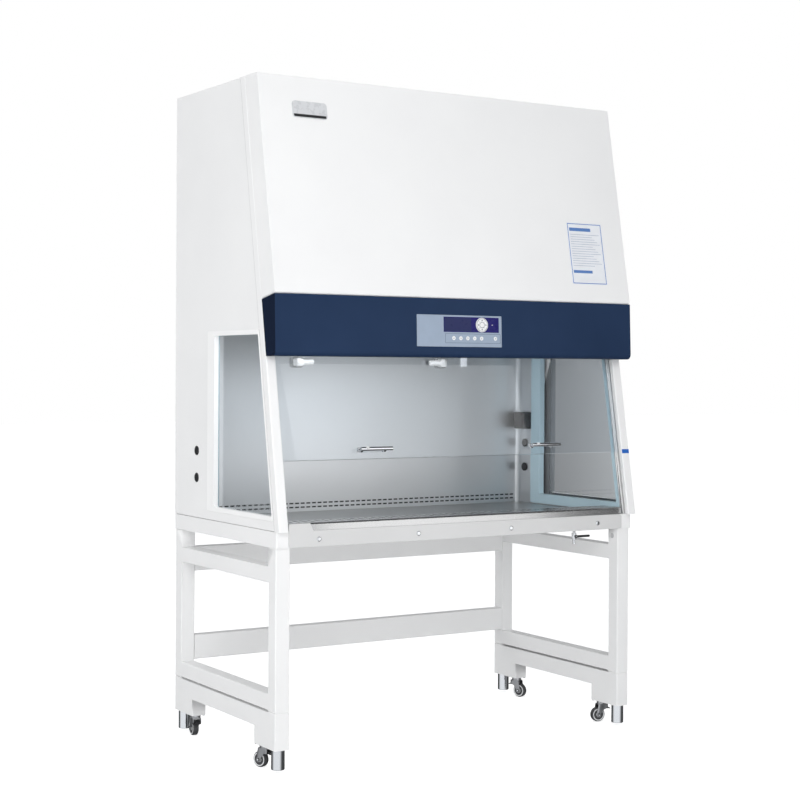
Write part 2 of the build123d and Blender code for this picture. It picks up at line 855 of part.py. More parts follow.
filter_front = lean_y(chamber_top + filter_height, glass_set_back + 2 * glass_thickness)
with BuildPart() as supply_filter:
    with BuildSketch(Plane.XY.offset(chamber_top + clearance)):
        with Locations((0, (filter_front + chamber_back) / 2)):
            Rectangle(2 * chamber_side, chamber_back - filter_front)
    extrude(amount=filter_height)
    with BuildSketch(Plane.XY.offset(chamber_top + 2 * sheet)):
        with Locations((0, (filter_front + chamber_back) / 2)):
            Rectangle(2 * chamber_side - 4 * sheet, chamber_back - filter_front - 4 * sheet)
    extrude(amount=filter_height, mode=Mode.SUBTRACT)
save(supply_filter, "supply_filter")

with BuildPart() as exhaust_filter:
    with BuildSketch(Plane.XY.offset(cabinet_height - pan_depth - 2 * sheet)):
        with Locations((0, grille_center)):
            Rectangle(grille_width, grille_depth)
    extrude(amount=-exhaust_drop)
    with BuildSketch(Plane.XY.offset(cabinet_height - pan_depth - 2 * sheet)):
        with Locations((0, grille_center)):
            Rectangle(grille_width - 2 * grille_edge, grille_depth - 2 * grille_edge)
    extrude(amount=-pan_depth, mode=Mode.SUBTRACT)
    with BuildSketch(Plane.XY.offset(cabinet_height - pan_depth - 2 * sheet - exhaust_drop)):
        with Locations((0, grille_center)):
            Rectangle(grille_width - 2 * grille_edge, grille_depth - 2 * grille_edge)
    extrude(amount=exhaust_drop - pan_depth - media_depth, mode=Mode.SUBTRACT)
save(exhaust_filter, "exhaust_filter")

# ---- Hood and control fascia -------------------------------------------------------------------
seam_back = fascia_top - (lean_y(fascia_top) - hood_y(fascia_top)) * rise

with BuildPart() as hood:
    with BuildSketch(Plane.YZ):
        Polygon(
            (hood_y(fascia_top + seam), fascia_top + seam),
            (hood_y(cabinet_height), cabinet_height),
            (lean_y(cabinet_height, -clearance), cabinet_height),
            (lean_y(seam_back + seam, -clearance), seam_back + seam),
            align=None,
        )
    extrude(amount=half_width, both=True)
    hood_front = hood.faces().sort_by(Axis.Y)[0]
    fillet(hood_front.edges().sort_by(Axis.Z)[1:], hood_round)
    hood_back = hood.faces().filter_by(GeomType.PLANE).sort_by(lambda face: face.normal_at().Y)[-1]
    offset(amount=-hood_sheet, openings=hood_back)
save(hood, "hood")

fascia_face = Plane(
    origin=(0, front + fascia_foot, fascia_bottom),
    x_dir=(1, 0, 0),
    z_dir=(0, -fascia_height, fascia_set_back),
)
fascia_back = lean_y(fascia_bottom, -clearance)
with BuildPart() as fascia:
    with BuildSketch(Plane.YZ):
        Polygon(
            (front + fascia_foot, fascia_bottom),
            (hood_y(fascia_top), fascia_top),
            (lean_y(seam_back, -clearance), seam_back),
            (fascia_back, fascia_bottom),
            align=None,
        )
    extrude(amount=half_width, both=True)
    low_front = fascia.edges().filter_by(Axis.X).group_by(Axis.Z)[0].sort_by(Axis.Y)[0]
    fillet(low_front, fascia_roll)
    fascia_rear = fascia.faces().filter_by(GeomType.PLANE).sort_by(lambda face: face.normal_at().Y)[-1]
    offset(amount=-hood_sheet, openings=fascia_rear)
    with BuildSketch(fascia_face):
        with Locations((plate_offset, plate_center_height)):
            Rectangle(plate_width - 2 * cutout_margin, plate_height - 2 * cutout_margin)
    extrude(amount=-3 * hood_sheet, mode=Mode.SUBTRACT)
save(fascia, "fascia")

# ---- Control plate, display, navigation pad and six push buttons --------------------------------
display_center = (display_offset, plate_center_height + display_raise)
pad_center = (pad_offset, plate_center_height + display_raise)
button_xs = [button_first + i * button_pitch for i in range(buttons_in_row)] + [lone_button_offset]
button_centers = [(x, plate_center_height - button_drop) for x in button_xs]

with BuildPart() as control_plate:
    with BuildSketch(fascia_face):
        with Locations((plate_offset, plate_center_height)):
            RectangleRounded(plate_width, plate_height, plate_corner)
        with Locations(display_center):
            Rectangle(display_width + clearance, display_height + clearance, mode=Mode.SUBTRACT)
        with Locations(*button_centers):
            Circle(button_radius + clearance, mode=Mode.SUBTRACT)
    extrude(amount=plate_thickness)
    chamfer(control_plate.faces().sort_by(Axis.Y)[0].outer_wire().edges(), plate_thickness / 3)
save(control_plate, "control_plate")

with BuildPart() as display:
    with BuildSketch(fascia_face.offset(-display_thickness)):
        with Locations(display_center):
            Rectangle(display_width, display_height)
    extrude(amount=display_thickness + plate_thickness + clearance)
    with BuildSketch(fascia_face.offset(-display_thickness)):
        with Locations(display_center):
            Rectangle(display_width + 2 * display_lip, display_height + 2 * display_lip)
    extrude(amount=display_thickness - clearance)
    with BuildSketch(fascia_face.offset(-display_thickness)):
        with Locations(pad_center):
            Circle(pad_radius + clearance)
    extrude(amount=3 * display_thickness, mode=Mode.SUBTRACT)
save(display, "display")


def make_button(center, radius, back_depth, proud):
    """Push button through the plate, held by a thin flange behind it."""
    with BuildPart() as button:
        with BuildSketch(fascia_face.offset(-back_depth)):
            with Locations(center):
                Circle(radius)
        extrude(amount=back_depth + plate_thickness + proud)
        fillet(button.faces().sort_by(Axis.Y)[0].edges(), proud / 2)
        with BuildSketch(fascia_face.offset(-back_depth)):
            with Locations(center):
                Circle(radius + button_flange)
        extrude(amount=-button_depth / 3)
    return button


save(make_button(pad_center, pad_radius, display_thickness + clearance, 2 * button_proud), "nav_pad")
for number, center in enumerate(button_centers, start=1):
    save(make_button(center, button_radius, clearance, button_proud), f"button_{number}")

# ---- Sash glass with its two bolted handles ---------------------------------------------------
sash_plane = sloped(sash_bottom, glass_set_back)
handle_side = handle_spread / 2
handle_posts = [
    (way * (handle_side + reach * (handle_length / 2 - handle_post_inset)), handle_height)
    for way in (-1, 1)
    for reach in (-1, 1)
]

with BuildPart() as sash_glass:
    with BuildSketch(sash_plane):
        with Locations((0, sash_length / 2)):
            Rectangle(2 * (post_inner + sash_engagement), sash_length)
        with Locations(*handle_posts):
            Circle(bolt_radius + clearance, mode=Mode.SUBTRACT)
    extrude(amount=-glass_thickness)
    chamfer(sash_glass.faces().sort_by(Axis.Z)[0].edges().filter_by(Axis.X), glass_chamfer)
save(sash_glass, "sash_glass")

rod_plane = Plane(
    origin=sash_plane.from_local_coords(Vector(0, handle_height, handle_stand_off)),
    x_dir=(0, 1, 0),
    z_dir=(1, 0, 0),
)
with BuildPart() as sash_handles:
    for way in (-1, 1):
        with BuildSketch(rod_plane.offset(way * handle_side - handle_length / 2)):
            Circle(handle_radius)
        extrude(amount=handle_length)
    chamfer(sash_handles.faces().filter_by(Axis.X).edges(), handle_radius / 4)
    with BuildSketch(sash_plane):
        with Locations(*handle_posts):
            Circle(handle_post_radius)
    extrude(amount=handle_stand_off)
    with BuildSketch(sash_plane):
        with Locations(*handle_posts):
            Circle(2 * handle_post_radius)
    extrude(amount=bolt_radius)
    with BuildSketch(sash_plane):
        with Locations(*handle_posts):
            Circle(bolt_radius)
    extrude(amount=-(glass_thickness + sheet))
    with BuildSketch(sash_plane.offset(-glass_thickness)):
        with Locations(*handle_posts):
            Circle(2 * handle_post_radius)
    extrude(amount=-sheet)
save(sash_handles, "sash_handles")

# ---- Lamp holders on the back wall --------------------------------------------------------------
holder_z = base_top + holder_height
holder_places = [(way * holder_spread / 2, holder_z) for way in (-1, 1)]
tube_depth = chamber_back - holder_plate_thickness - holder_body_depth / 2

with BuildPart() as lamp_holders:
    with BuildSketch(facing(chamber_back)):
        with Locations(*holder_places):
            RectangleRounded(holder_plate_width, holder_plate_height, holder_plate_height / 4)
    extrude(amount=holder_plate_thickness)
    with BuildSketch(facing(chamber_back - holder_plate_thickness)):
        with Locations(*holder_places):
            RectangleRounded(holder_body, holder_body, holder_body / 4)
    extrude(amount=holder_body_depth)
    for way in (-1, 1):
        with BuildSketch(Plane.YZ.offset(way * (holder_spread / 2))):
            with Locations((tube_depth, holder_z)):
                Circle(holder_tube_radius)
        extrude(amount=-way * holder_reach)
save(lamp_holders, "lamp_holders")

# ---- Socket box with a hinged flap on the right inner wall ----------------------------------------
wall_plane = Plane(origin=(chamber_side, 0, 0), x_dir=(0, -1, 0), z_dir=(-1, 0, 0))
socket_y = front + inner_window_back + inner_frame_back_bar + socket_gap + socket_size / 2
socket_z = base_top + socket_height + socket_size / 2
hinge_z = socket_z + socket_size / 2 - socket_hinge_drop
hinge_x = chamber_side - socket_depth - socket_hinge_reach
flap_width = socket_size - 2 * flap_margin
flap_bottom = socket_z - socket_size / 2 + flap_margin
barrel_length = flap_width - 2 * socket_lug - 2 * clearance

with BuildPart() as socket_box:
    with BuildSketch(wall_plane):
        with Locations((-socket_y, socket_z)):
            RectangleRounded(socket_size, socket_size, socket_corner)
    extrude(amount=socket_depth)
    fillet(socket_box.faces().sort_by(Axis.X)[0].edges(), socket_round)
    with BuildSketch(wall_plane.offset(socket_depth)):
        with Locations((-socket_y, socket_z - socket_hinge_drop / 2)):
            Circle(socket_size / 3)
    extrude(amount=-socket_depth / 2, mode=Mode.SUBTRACT)
    with BuildSketch(wall_plane.offset(socket_depth - sheet)):
        for way in (-1, 1):
            with Locations((way * (flap_width - socket_lug) / 2 - socket_y, hinge_z)):
                Rectangle(socket_lug, 2 * socket_hinge_reach)
    extrude(amount=sheet + 2 * socket_hinge_reach)
    with BuildSketch(Plane.XZ.offset(-socket_y)):
        with Locations((hinge_x, hinge_z)):
            Circle(socket_pin_radius)
    extrude(amount=flap_width / 2, both=True)
save(socket_box, "socket_box")

with BuildPart() as socket_flap:
    with BuildSketch(Plane.XZ.offset(-socket_y)):
        with BuildLine():
            Polyline(
                (hinge_x, hinge_z),
                (hinge_x + flap_thickness, hinge_z),
                (hinge_x + flap_thickness, flap_bottom),
                (hinge_x, flap_bottom),
                close=True,
            )
        make_face()
        with Locations((hinge_x, hinge_z)):
            Circle(2 * socket_pin_radius)
            Circle(socket_pin_radius + running_fit, mode=Mode.SUBTRACT)
    extrude(amount=barrel_length / 2, both=True)
    with BuildSketch(wall_plane.offset(socket_depth + socket_hinge_reach - flap_thickness)):
        with Locations((-socket_y, (flap_bottom + hinge_z - 3 * socket_hinge_reach) / 2)):
            RectangleRounded(flap_width, hinge_z - flap_bottom - 3 * socket_hinge_reach, flap_margin)
    extrude(amount=flap_thickness)
save(socket_flap, "socket_flap")

# ---- Port plugs through both skins ------------------------------------------------------------
with BuildPart() as port_plugs:
    for side in (-1, 1):
        with BuildSketch(Plane.YZ.offset(side * (chamber_side - port_cap))):
            with Locations(*port_places):
                Circle(port_cap_radius)
        extrude(amount=side * port_cap)
        with BuildSketch(Plane.YZ.offset(side * (chamber_side - port_cap))):
            with Locations(*port_places):
                Circle(port_radius)
        extrude(amount=side * (wall_thickness + port_cap))
        with BuildSketch(Plane.YZ.offset(side * shell_side)):
            with Locations(*port_places):
                Circle(port_cap_radius)
        extrude(amount=side * sheet)
save(port_plugs, "port_plugs")

# ---- Drain pipe with a ball valve and its lever ------------------------------------------------
valve_z = base_bottom - drain_valve_drop
with BuildPart() as drain_valve:
    with BuildSketch(Plane.XY.offset(base_bottom - drain_drop)):
        with Locations((drain_x, drain_y)):
            Circle(drain_radius)
            Circle(drain_radius / 2, mode=Mode.SUBTRACT)
    extrude(amount=drain_drop + 2 * sheet)
    with BuildSketch(Plane.XY.offset(valve_z - valve_length / 2)):
        with Locations((drain_x, drain_y)):
            RegularPolygon(valve_radius, 6)
            Circle(drain_radius / 2, mode=Mode.SUBTRACT)
    extrude(amount=valve_length)
    with BuildSketch(Plane.XY.offset(base_bottom + sheet)):
        with Locations((drain_x, drain_y)):
            Circle(valve_radius)
            Circle(drain_radius / 2, mode=Mode.SUBTRACT)
    extrude(amount=sheet)
    with BuildSketch(facing(drain_y - valve_radius / 2)):
        with Locations((drain_x, valve_z)):
            Circle(lever_stem_radius)
    extrude(amount=valve_radius / 2 + 2 * lever_thickness)
save(drain_valve, "drain_valve")

with BuildPart() as drain_lever:
    with BuildSketch(facing(drain_y - valve_radius - clearance)):
        with Locations((drain_x, valve_z)):
            Circle(lever_boss_radius)
        with Locations((drain_x + lever_length / 2, valve_z)):
            SlotOverall(lever_length + lever_width, lever_width)
        with Locations((drain_x, valve_z)):
            Circle(lever_stem_radius + running_fit, mode=Mode.SUBTRACT)
    extrude(amount=lever_thickness)
save(drain_lever, "drain_lever")
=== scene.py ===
import json
import math

import bmesh
import bpy
from mathutils import Matrix, Vector


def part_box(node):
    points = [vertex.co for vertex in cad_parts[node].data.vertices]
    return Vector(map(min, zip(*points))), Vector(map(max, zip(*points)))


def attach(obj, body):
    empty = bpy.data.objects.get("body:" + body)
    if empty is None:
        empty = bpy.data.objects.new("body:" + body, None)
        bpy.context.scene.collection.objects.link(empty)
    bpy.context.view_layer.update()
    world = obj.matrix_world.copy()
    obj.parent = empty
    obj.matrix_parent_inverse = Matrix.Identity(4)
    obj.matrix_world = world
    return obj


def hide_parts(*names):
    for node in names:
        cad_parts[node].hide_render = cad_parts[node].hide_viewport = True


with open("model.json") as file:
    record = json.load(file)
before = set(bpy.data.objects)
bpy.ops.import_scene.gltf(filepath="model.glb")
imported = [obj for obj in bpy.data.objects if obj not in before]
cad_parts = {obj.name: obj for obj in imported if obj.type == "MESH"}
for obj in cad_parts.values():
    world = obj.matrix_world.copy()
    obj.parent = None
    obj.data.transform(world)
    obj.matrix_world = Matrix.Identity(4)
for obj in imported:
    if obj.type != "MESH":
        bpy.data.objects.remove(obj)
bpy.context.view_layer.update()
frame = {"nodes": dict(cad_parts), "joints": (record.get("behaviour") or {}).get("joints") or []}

nodes = frame["nodes"]
print("frame loaded:", len(nodes), "nodes")


# small helpers used by every piece
def leaveEdit():
    if bpy.context.object and bpy.context.object.mode != "OBJECT":
        bpy.ops.object.mode_set(mode="OBJECT")


def pickOnly(*objects):
    leaveEdit()
    bpy.ops.object.select_all(action="DESELECT")
    for item in objects:
        item.select_set(True)
    bpy.context.view_layer.objects.active = objects[-1] if objects else None


def freeze(piece):
    # bake place, turn and size into the mesh
    pickOnly(piece)
    bpy.ops.object.transform_apply(location=True, rotation=True, scale=True)
    return piece


def newRod(name, radius, length, center, axis=(0, 0, 1), sides=48):
    leaveEdit()
    bpy.ops.object.select_all(action="DESELECT")
    turn = Vector(axis).to_track_quat("Z", "Y").to_euler()
    bpy.ops.mesh.primitive_cylinder_add(
        vertices=sides, radius=radius, depth=length, location=center, rotation=turn
    )
    piece = bpy.context.object
    piece.name = name
    return freeze(piece)


def newBlock(name, low, high, turn=(0, 0, 0)):
    leaveEdit()
    bpy.ops.object.select_all(action="DESELECT")
    low, high = Vector(low), Vector(high)
    bpy.ops.mesh.primitive_cube_add(size=1, location=(low + high) / 2, rotation=turn)
    piece = bpy.context.object
    piece.name = name
    piece.scale = high - low
    return freeze(piece)


def newPlate(name, width, height, low, high):
    # block centred on the origin in X and Y, between two heights
    return newBlock(name, (-width / 2, -height / 2, low), (width / 2, height / 2, high))


def editFaces(piece, test):
    # enter edit mode with only the faces that pass the test selected
    pickOnly(piece)
    bpy.ops.object.mode_set(mode="EDIT")
    bpy.ops.mesh.select_mode(type="FACE")
    bpy.ops.mesh.select_all(action="DESELECT")
    mesh = bmesh.from_edit_mesh(piece.data)
    for face in mesh.faces:
        face.select_set(bool(test(face)))
    bmesh.update_edit_mesh(piece.data)


def editEdges(piece, test):
    pickOnly(piece)
    bpy.ops.object.mode_set(mode="EDIT")
    bpy.ops.mesh.select_mode(type="EDGE")
    bpy.ops.mesh.select_all(action="DESELECT")
    mesh = bmesh.from_edit_mesh(piece.data)
    for edge in mesh.edges:
        edge.select_set(bool(test(edge)))
    bmesh.update_edit_mesh(piece.data)


def bevelEdges(piece, width, test, steps=3):
    editEdges(piece, test)
    bpy.ops.mesh.bevel(offset=width, segments=steps, affect="EDGES")
    leaveEdit()
    return piece


def roundAll(piece, width, steps=3, sharp=30):
    # bevel every edge sharper than the given angle
    pickOnly(piece)
    bevel = piece.modifiers.new("round", "BEVEL")
    bevel.width = width
    bevel.segments = steps
    bevel.limit_method = "ANGLE"
    bevel.angle_limit = math.radians(sharp)
    bevel.harden_normals = False
    bpy.ops.object.modifier_apply(modifier="round")
    return piece


def insetFaces(piece, test, rim, push):
    editFaces(piece, test)
    bpy.ops.mesh.inset(thickness=rim, depth=push)
    leaveEdit()
    return piece


def openRing(width):
    # turn the selected pair of faces into a hollow ring
    bpy.ops.mesh.inset(thickness=width)
    bpy.ops.mesh.bridge_edge_loops()
    leaveEdit()


def joinPieces(name, *pieces):
    pickOnly(*pieces)
    if len(pieces) > 1:
        bpy.ops.object.join()
    joined = bpy.context.object
    joined.name = name
    joined.data.name = name
    return joined


def cloned(piece, name, matrix):
    twin = piece.copy()
    twin.data = piece.data.copy()
    twin.name = name
    bpy.context.collection.objects.link(twin)
    twin.data.transform(matrix)
    if matrix.determinant() < 0:
        twin.data.flip_normals()
    return twin


def paint(piece, coat):
    piece.data.materials.clear()
    piece.data.materials.append(coat)
    return piece


def coatFaces(piece, coat, test):
    # give the faces that pass the test a further coat
    piece.data.materials.append(coat)
    editFaces(piece, test)
    piece.active_material_index = len(piece.data.materials) - 1
    bpy.ops.object.material_slot_assign()
    leaveEdit()


def finishPiece(piece, body, smooth=35):
    freeze(piece)
    bpy.ops.object.shade_smooth_by_angle(angle=math.radians(smooth))
    # large faces keep their own normal, so roundings don't shade across them
    weigh = piece.modifiers.new("weigh", "WEIGHTED_NORMAL")
    weigh.keep_sharp = True
    weigh.weight = 100
    bpy.ops.object.modifier_apply(modifier="weigh")
    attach(piece, body)
    return piece


def merged(node, coat, body="cabinet", smooth=30):
    # copy of a frame node with its vertices merged, so folds and corners shade smoothly
    twin = nodes[node].copy()
    twin.data = nodes[node].data.copy()
    twin.name = node + "_skin"
    bpy.context.collection.objects.link(twin)
    twin.parent = None
    twin.matrix_world = Matrix.Identity(4)
    twin.hide_render = False
    pickOnly(twin)
    bpy.ops.object.mode_set(mode="EDIT")
    bpy.ops.mesh.select_all(action="SELECT")
    bpy.ops.mesh.remove_doubles(threshold=0.00001)
    leaveEdit()
    paint(twin, coat)
    finishPiece(twin, body, smooth)
    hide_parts(node)
    return twin


# materials
def newCoat(name, color, rough=0.5, metal=0.0):
    coat = bpy.data.materials.new(name)
    coat.use_nodes = True
    shader = coat.node_tree.nodes["Principled BSDF"]
    shader.inputs["Base Color"].default_value = (*color, 1)
    shader.inputs["Roughness"].default_value = rough
    shader.inputs["Metallic"].default_value = metal
    coat.diffuse_color = (*color, 1)
    return coat, shader


def patternOn(coat, scale=(1, 1, 1), size=40, detail=4, rough=0.55):
    # noise on object coordinates, stretched by scale
    tree = coat.node_tree
    place = tree.nodes.new("ShaderNodeTexCoord")
    stretch = tree.nodes.new("ShaderNodeMapping")
    noise = tree.nodes.new("ShaderNodeTexNoise")
    stretch.inputs["Scale"].default_value = scale
    noise.inputs["Scale"].default_value = size
    noise.inputs["Detail"].default_value = detail
    noise.inputs["Roughness"].default_value = rough
    tree.links.new(place.outputs["Object"], stretch.inputs["Vector"])
    tree.links.new(stretch.outputs["Vector"], noise.inputs["Vector"])
    return noise.outputs["Fac"]


def spread(coat, source, low, high, span=(0.3, 0.7)):
    # map a 0 to 1 pattern onto a range of values
    node = coat.node_tree.nodes.new("ShaderNodeMapRange")
    node.inputs["From Min"].default_value = span[0]
    node.inputs["From Max"].default_value = span[1]
    node.inputs["To Min"].default_value = low
    node.inputs["To Max"].default_value = high
    coat.node_tree.links.new(source, node.inputs["Value"])
    return node.outputs["Result"]


def tinted(coat, source, first, second, span=(0.3, 0.7)):
    # blend two colours by a pattern
    tree = coat.node_tree
    ramp = tree.nodes.new("ShaderNodeValToRGB")
    ramp.color_ramp.elements[0].position = span[0]
    ramp.color_ramp.elements[0].color = (*first, 1)
    ramp.color_ramp.elements[1].position = span[1]
    ramp.color_ramp.elements[1].color = (*second, 1)
    tree.links.new(source, ramp.inputs["Fac"])
    return ramp.outputs["Color"]


def raised(coat, source, strength, distance=0.0005):
    tree = coat.node_tree
    bump = tree.nodes.new("ShaderNodeBump")
    bump.inputs["Strength"].default_value = strength
    bump.inputs["Distance"].default_value = distance
    tree.links.new(source, bump.inputs["Height"])
    shader = tree.nodes["Principled BSDF"]
    tree.links.new(bump.outputs["Normal"], shader.inputs["Normal"])
    return bump


def wire(coat, source, socket):
    shader = coat.node_tree.nodes["Principled BSDF"]
    coat.node_tree.links.new(source, shader.inputs[socket])


def powderCoat(name, color, dark, rough=0.42, grain=900, gloss=0.5):
    coat, shader = newCoat(name, color, rough)
    shader.inputs["Specular IOR Level"].default_value = gloss
    cloud = patternOn(coat, size=3, detail=3)
    wire(coat, tinted(coat, cloud, dark, color), "Base Color")
    grainFac = patternOn(coat, size=grain, detail=2)
    raised(coat, grainFac, 0.12, 0.0003)
    wire(coat, spread(coat, patternOn(coat, size=14, detail=5), rough - 0.06, rough + 0.06), "Roughness")
    return coat


def brushedSteel(name, color, dark, along, rough=0.3, scratch=0.06):
    # fine scratches run along one axis
    coat, shader = newCoat(name, color, rough, 1.0)
    stretch = [420, 420, 420]
    stretch["XYZ".index(along)] = 2.5
    lines = patternOn(coat, scale=stretch, size=6, detail=3)
    wide = patternOn(coat, size=1.6, detail=2)
    wire(coat, tinted(coat, wide, dark, color), "Base Color")
    wire(coat, spread(coat, lines, rough - 0.03, rough + 0.05), "Roughness")
    raised(coat, lines, scratch, 0.0001)
    return coat


def moulded(name, color, rough=0.5, grain=1500, strength=0.1, gloss=0.5, cloud=0.95):
    coat, shader = newCoat(name, color, rough)
    shader.inputs["Specular IOR Level"].default_value = gloss
    darker = [c * cloud for c in color]
    wire(coat, tinted(coat, patternOn(coat, size=30, detail=4), darker, color), "Base Color")
    raised(coat, patternOn(coat, size=grain, detail=2), strength, 0.0003)
    wire(coat, spread(coat, patternOn(coat, size=60, detail=4), rough - 0.07, rough + 0.07), "Roughness")
    return coat


def clearPane(name, tint, rough=0.02):
    coat, shader = newCoat(name, tint, rough)
    shader.inputs["Transmission Weight"].default_value = 1.0
    shader.inputs["IOR"].default_value = 1.45
    wire(coat, spread(coat, patternOn(coat, size=8, detail=3), rough, rough + 0.02), "Roughness")
    tree = coat.node_tree
    out = tree.nodes["Material Output"]
    path = tree.nodes.new("ShaderNodeLightPath")
    clearWay = tree.nodes.new("ShaderNodeBsdfTransparent")
    clearWay.inputs["Color"].default_value = (0.93, 0.96, 0.98, 1)
    mix = tree.nodes.new("ShaderNodeMixShader")
    tree.links.new(path.outputs["Is Shadow Ray"], mix.inputs["Fac"])
    tree.links.new(shader.outputs["BSDF"], mix.inputs[1])
    tree.links.new(clearWay.outputs["BSDF"], mix.inputs[2])
    tree.links.new(mix.outputs["Shader"], out.inputs["Surface"])
    return coat


whiteShell = powderCoat("whiteShellCoat", (0.885, 0.885, 0.885), (0.86, 0.86, 0.862))
sillCoat = powderCoat("sillCoat", (0.67, 0.67, 0.67), (0.64, 0.64, 0.64), 0.4)
# whiter coat for the raised window trim: its own white, with a painted highlight on the trim and its reveals
paintedHighlightTrimWhite = powderCoat("paintedHighlightWindowTrim", (0.95, 0.95, 0.95), (0.93, 0.93, 0.93), 0.35)
sealGrey = moulded("sealGrey", (0.10, 0.10, 0.105), 0.6)
whiteFrame = powderCoat("whiteFrameCoat", (0.875, 0.875, 0.875), (0.85, 0.85, 0.85), 0.45, 700)
navyCoat = powderCoat("navyCoat", (0.0175, 0.037, 0.088), (0.014, 0.031, 0.075), 0.42, 1000, 0.10)
steelAcross = brushedSteel("steelBrushedAcross", (0.50, 0.51, 0.51), (0.42, 0.43, 0.43), "X", 0.32)
steelWall = brushedSteel("steelChamberWall", (0.72, 0.735, 0.75), (0.68, 0.695, 0.71), "Z", 0.36)
steelRoll = brushedSteel("steelArmrest", (0.66, 0.66, 0.66), (0.58, 0.58, 0.58), "X", 0.22)
blueTrim = powderCoat("blueWindowTrim", (0.50, 0.645, 0.715), (0.46, 0.605, 0.68), 0.4)
clearGlass = clearPane("clearGlass", (0.955, 0.98, 1.0))
chrome = brushedSteel("polishedChrome", (0.82, 0.83, 0.85), (0.74, 0.75, 0.77), "Z", 0.12)
darkSteel = brushedSteel("darkCasterSteel", (0.46, 0.46, 0.47), (0.34, 0.34, 0.35), "Z", 0.34)
blackPlastic = moulded("blackPlastic", (0.018, 0.018, 0.02), 0.42)
treadRubber = moulded("treadRubber", (0.050, 0.050, 0.053), 0.6, 900, 0.2)
wheelGrey = moulded("wheelGrey", (0.74, 0.75, 0.76), 0.45)
plateFilm = moulded("controlPlateFilm", (0.315, 0.385, 0.49), 0.38, 1200, 0.05)
displayFilm = moulded("displayFilm", (0.018, 0.015, 0.13), 0.30, 1800, 0.02, 0.15)
screenFilm = moulded("screenFilm", (0.024, 0.030, 0.100), 0.32, 1800, 0.02, 0.15)
whitePlastic = moulded("whitePlastic", (0.86, 0.865, 0.87), 0.32, 1600, 0.05)
greyPlastic = moulded("greyPlastic", (0.30, 0.31, 0.32), 0.45, 1600, 0.05)
grilleSheet = brushedSteel("grilleSheet", (0.66, 0.67, 0.68), (0.58, 0.59, 0.60), "Y", 0.36)
filterPaper = moulded("filterPaper", (0.78, 0.78, 0.76), 0.8, 500, 0.3)
markBlue = moulded("heightMarkBlue", (0.012, 0.13, 0.52), 0.35, 1500, 0.05)
# darker copy of the navy for the fascia's end caps: painted shade on the faces turned from the light
paintedShadeNavyEnd = powderCoat("paintedShadeNavyEndCoat", (0.0075, 0.0145, 0.036), (0.006, 0.012, 0.030), 0.42, 1000, 0.10)
# lighter copy of the navy for the fascia's edge roundings: a painted highlight
paintedHighlightNavyEdge = powderCoat("paintedHighlightNavyEdgeCoat", (0.20, 0.25, 0.36), (0.17, 0.22, 0.33), 0.35, 1000, 0.3)
jambShade = moulded("jambShade", (0.20, 0.21, 0.22), 0.6)
plugGrey = moulded("plugGrey", (0.52, 0.52, 0.53), 0.45)
markInk = moulded("markInk", (0.05, 0.06, 0.10), 0.45, 1500, 0.03)
badgeSilver = moulded("badgeSilver", (0.66, 0.67, 0.69), 0.3, 1500, 0.03, 0.8)
labelWhite = moulded("labelWhite", (0.84, 0.86, 0.90), 0.4, 1500, 0.03)
rowGrey = moulded("rowGrey", (0.42, 0.47, 0.58), 0.4, 1500, 0.03)
labelBlue = moulded("labelBlue", (0.10, 0.22, 0.52), 0.4, 1500, 0.03)
print("materials made")


# camera, floor and light
view = {
    "place": (-3.0243, -4.8163, 1.2437),
    "yaw": 31.937,
    "pitch": -0.055,
    "roll": 0.304,
    "lens": 73.90,
    "shiftX": -0.0024,
    "shiftY": -0.0358,
}


def setCamera():
    leaveEdit()
    lensData = bpy.data.cameras.new("viewCamera")
    eye = bpy.data.objects.new("viewCamera", lensData)
    bpy.context.collection.objects.link(eye)
    lensData.sensor_width = 36
    lensData.lens = view["lens"]
    lensData.shift_x = view["shiftX"]
    lensData.shift_y = view["shiftY"]
    lensData.clip_end = 100
    yaw, pitch, roll = (math.radians(view[k]) for k in ("yaw", "pitch", "roll"))
    level = Vector((math.sin(yaw), math.cos(yaw), 0))
    forward = level * math.cos(pitch) + Vector((0, 0, 1)) * math.sin(pitch)
    side = Vector((math.cos(yaw), -math.sin(yaw), 0))
    above = side.cross(forward)
    right = side * math.cos(roll) + above * math.sin(roll)
    top = above * math.cos(roll) - side * math.sin(roll)
    turn = Matrix((right, top, -forward)).transposed().to_4x4()
    eye.matrix_world = Matrix.Translation(view["place"]) @ turn
    bpy.context.scene.camera = eye


lights = {
    "keyPanel": {
        "place": (-2.3, -3.7, 2.5),
        "aim": (0, 0, 1.3),
        "size": (2.4, 2.4),
        "power": 72,
        "shine": False,
    },
    "sidePanel": {
        "place": (-4.2, 1.0, 1.9),
        "aim": (0, 0, 0.9),
        "size": (2.4, 2.4),
        "power": 38,
        "shine": False,
    },
    "topPanel": {
        "place": (0, 0.2, 4.4),
        "aim": (0, 0, 1.5),
        "size": (3.0, 2.0),
        "power": 20,
        "shine": False,
    },
    "lowPanel": {
        "place": (-1.2, -4.0, 0.5),
        "aim": (0, 0, 0.45),
        "size": (3.0, 0.8),
        "power": 21,
        "shine": False,
    },
    "chamberPanel": {
        "place": (-0.1, -0.16, 1.34),
        "aim": (-0.05, 0.25, 0.95),
        "size": (1.0, 0.12),
        "power": 3.5,
        "shine": False,
    },
    "glowStrip": {
        "place": (0.78, -1.75, 1.10),
        "aim": (0.78, 0.3, 1.10),
        "size": (1.2, 1.9),
        "power": 8.0,
        "shine": True,
    },
}
air = {
    "around": 0.55,
    "shine": {"axis": (-0.75, -0.66, 0.0), "low": 0.07, "high": 0.95, "span": (-0.1, 0.75)},
    "card": {"axis": (0.8, -0.6, 0.0), "low": 0.20, "high": 0.95, "span": (-0.02, 0.16)},
    "floorLift": 0.62,
}


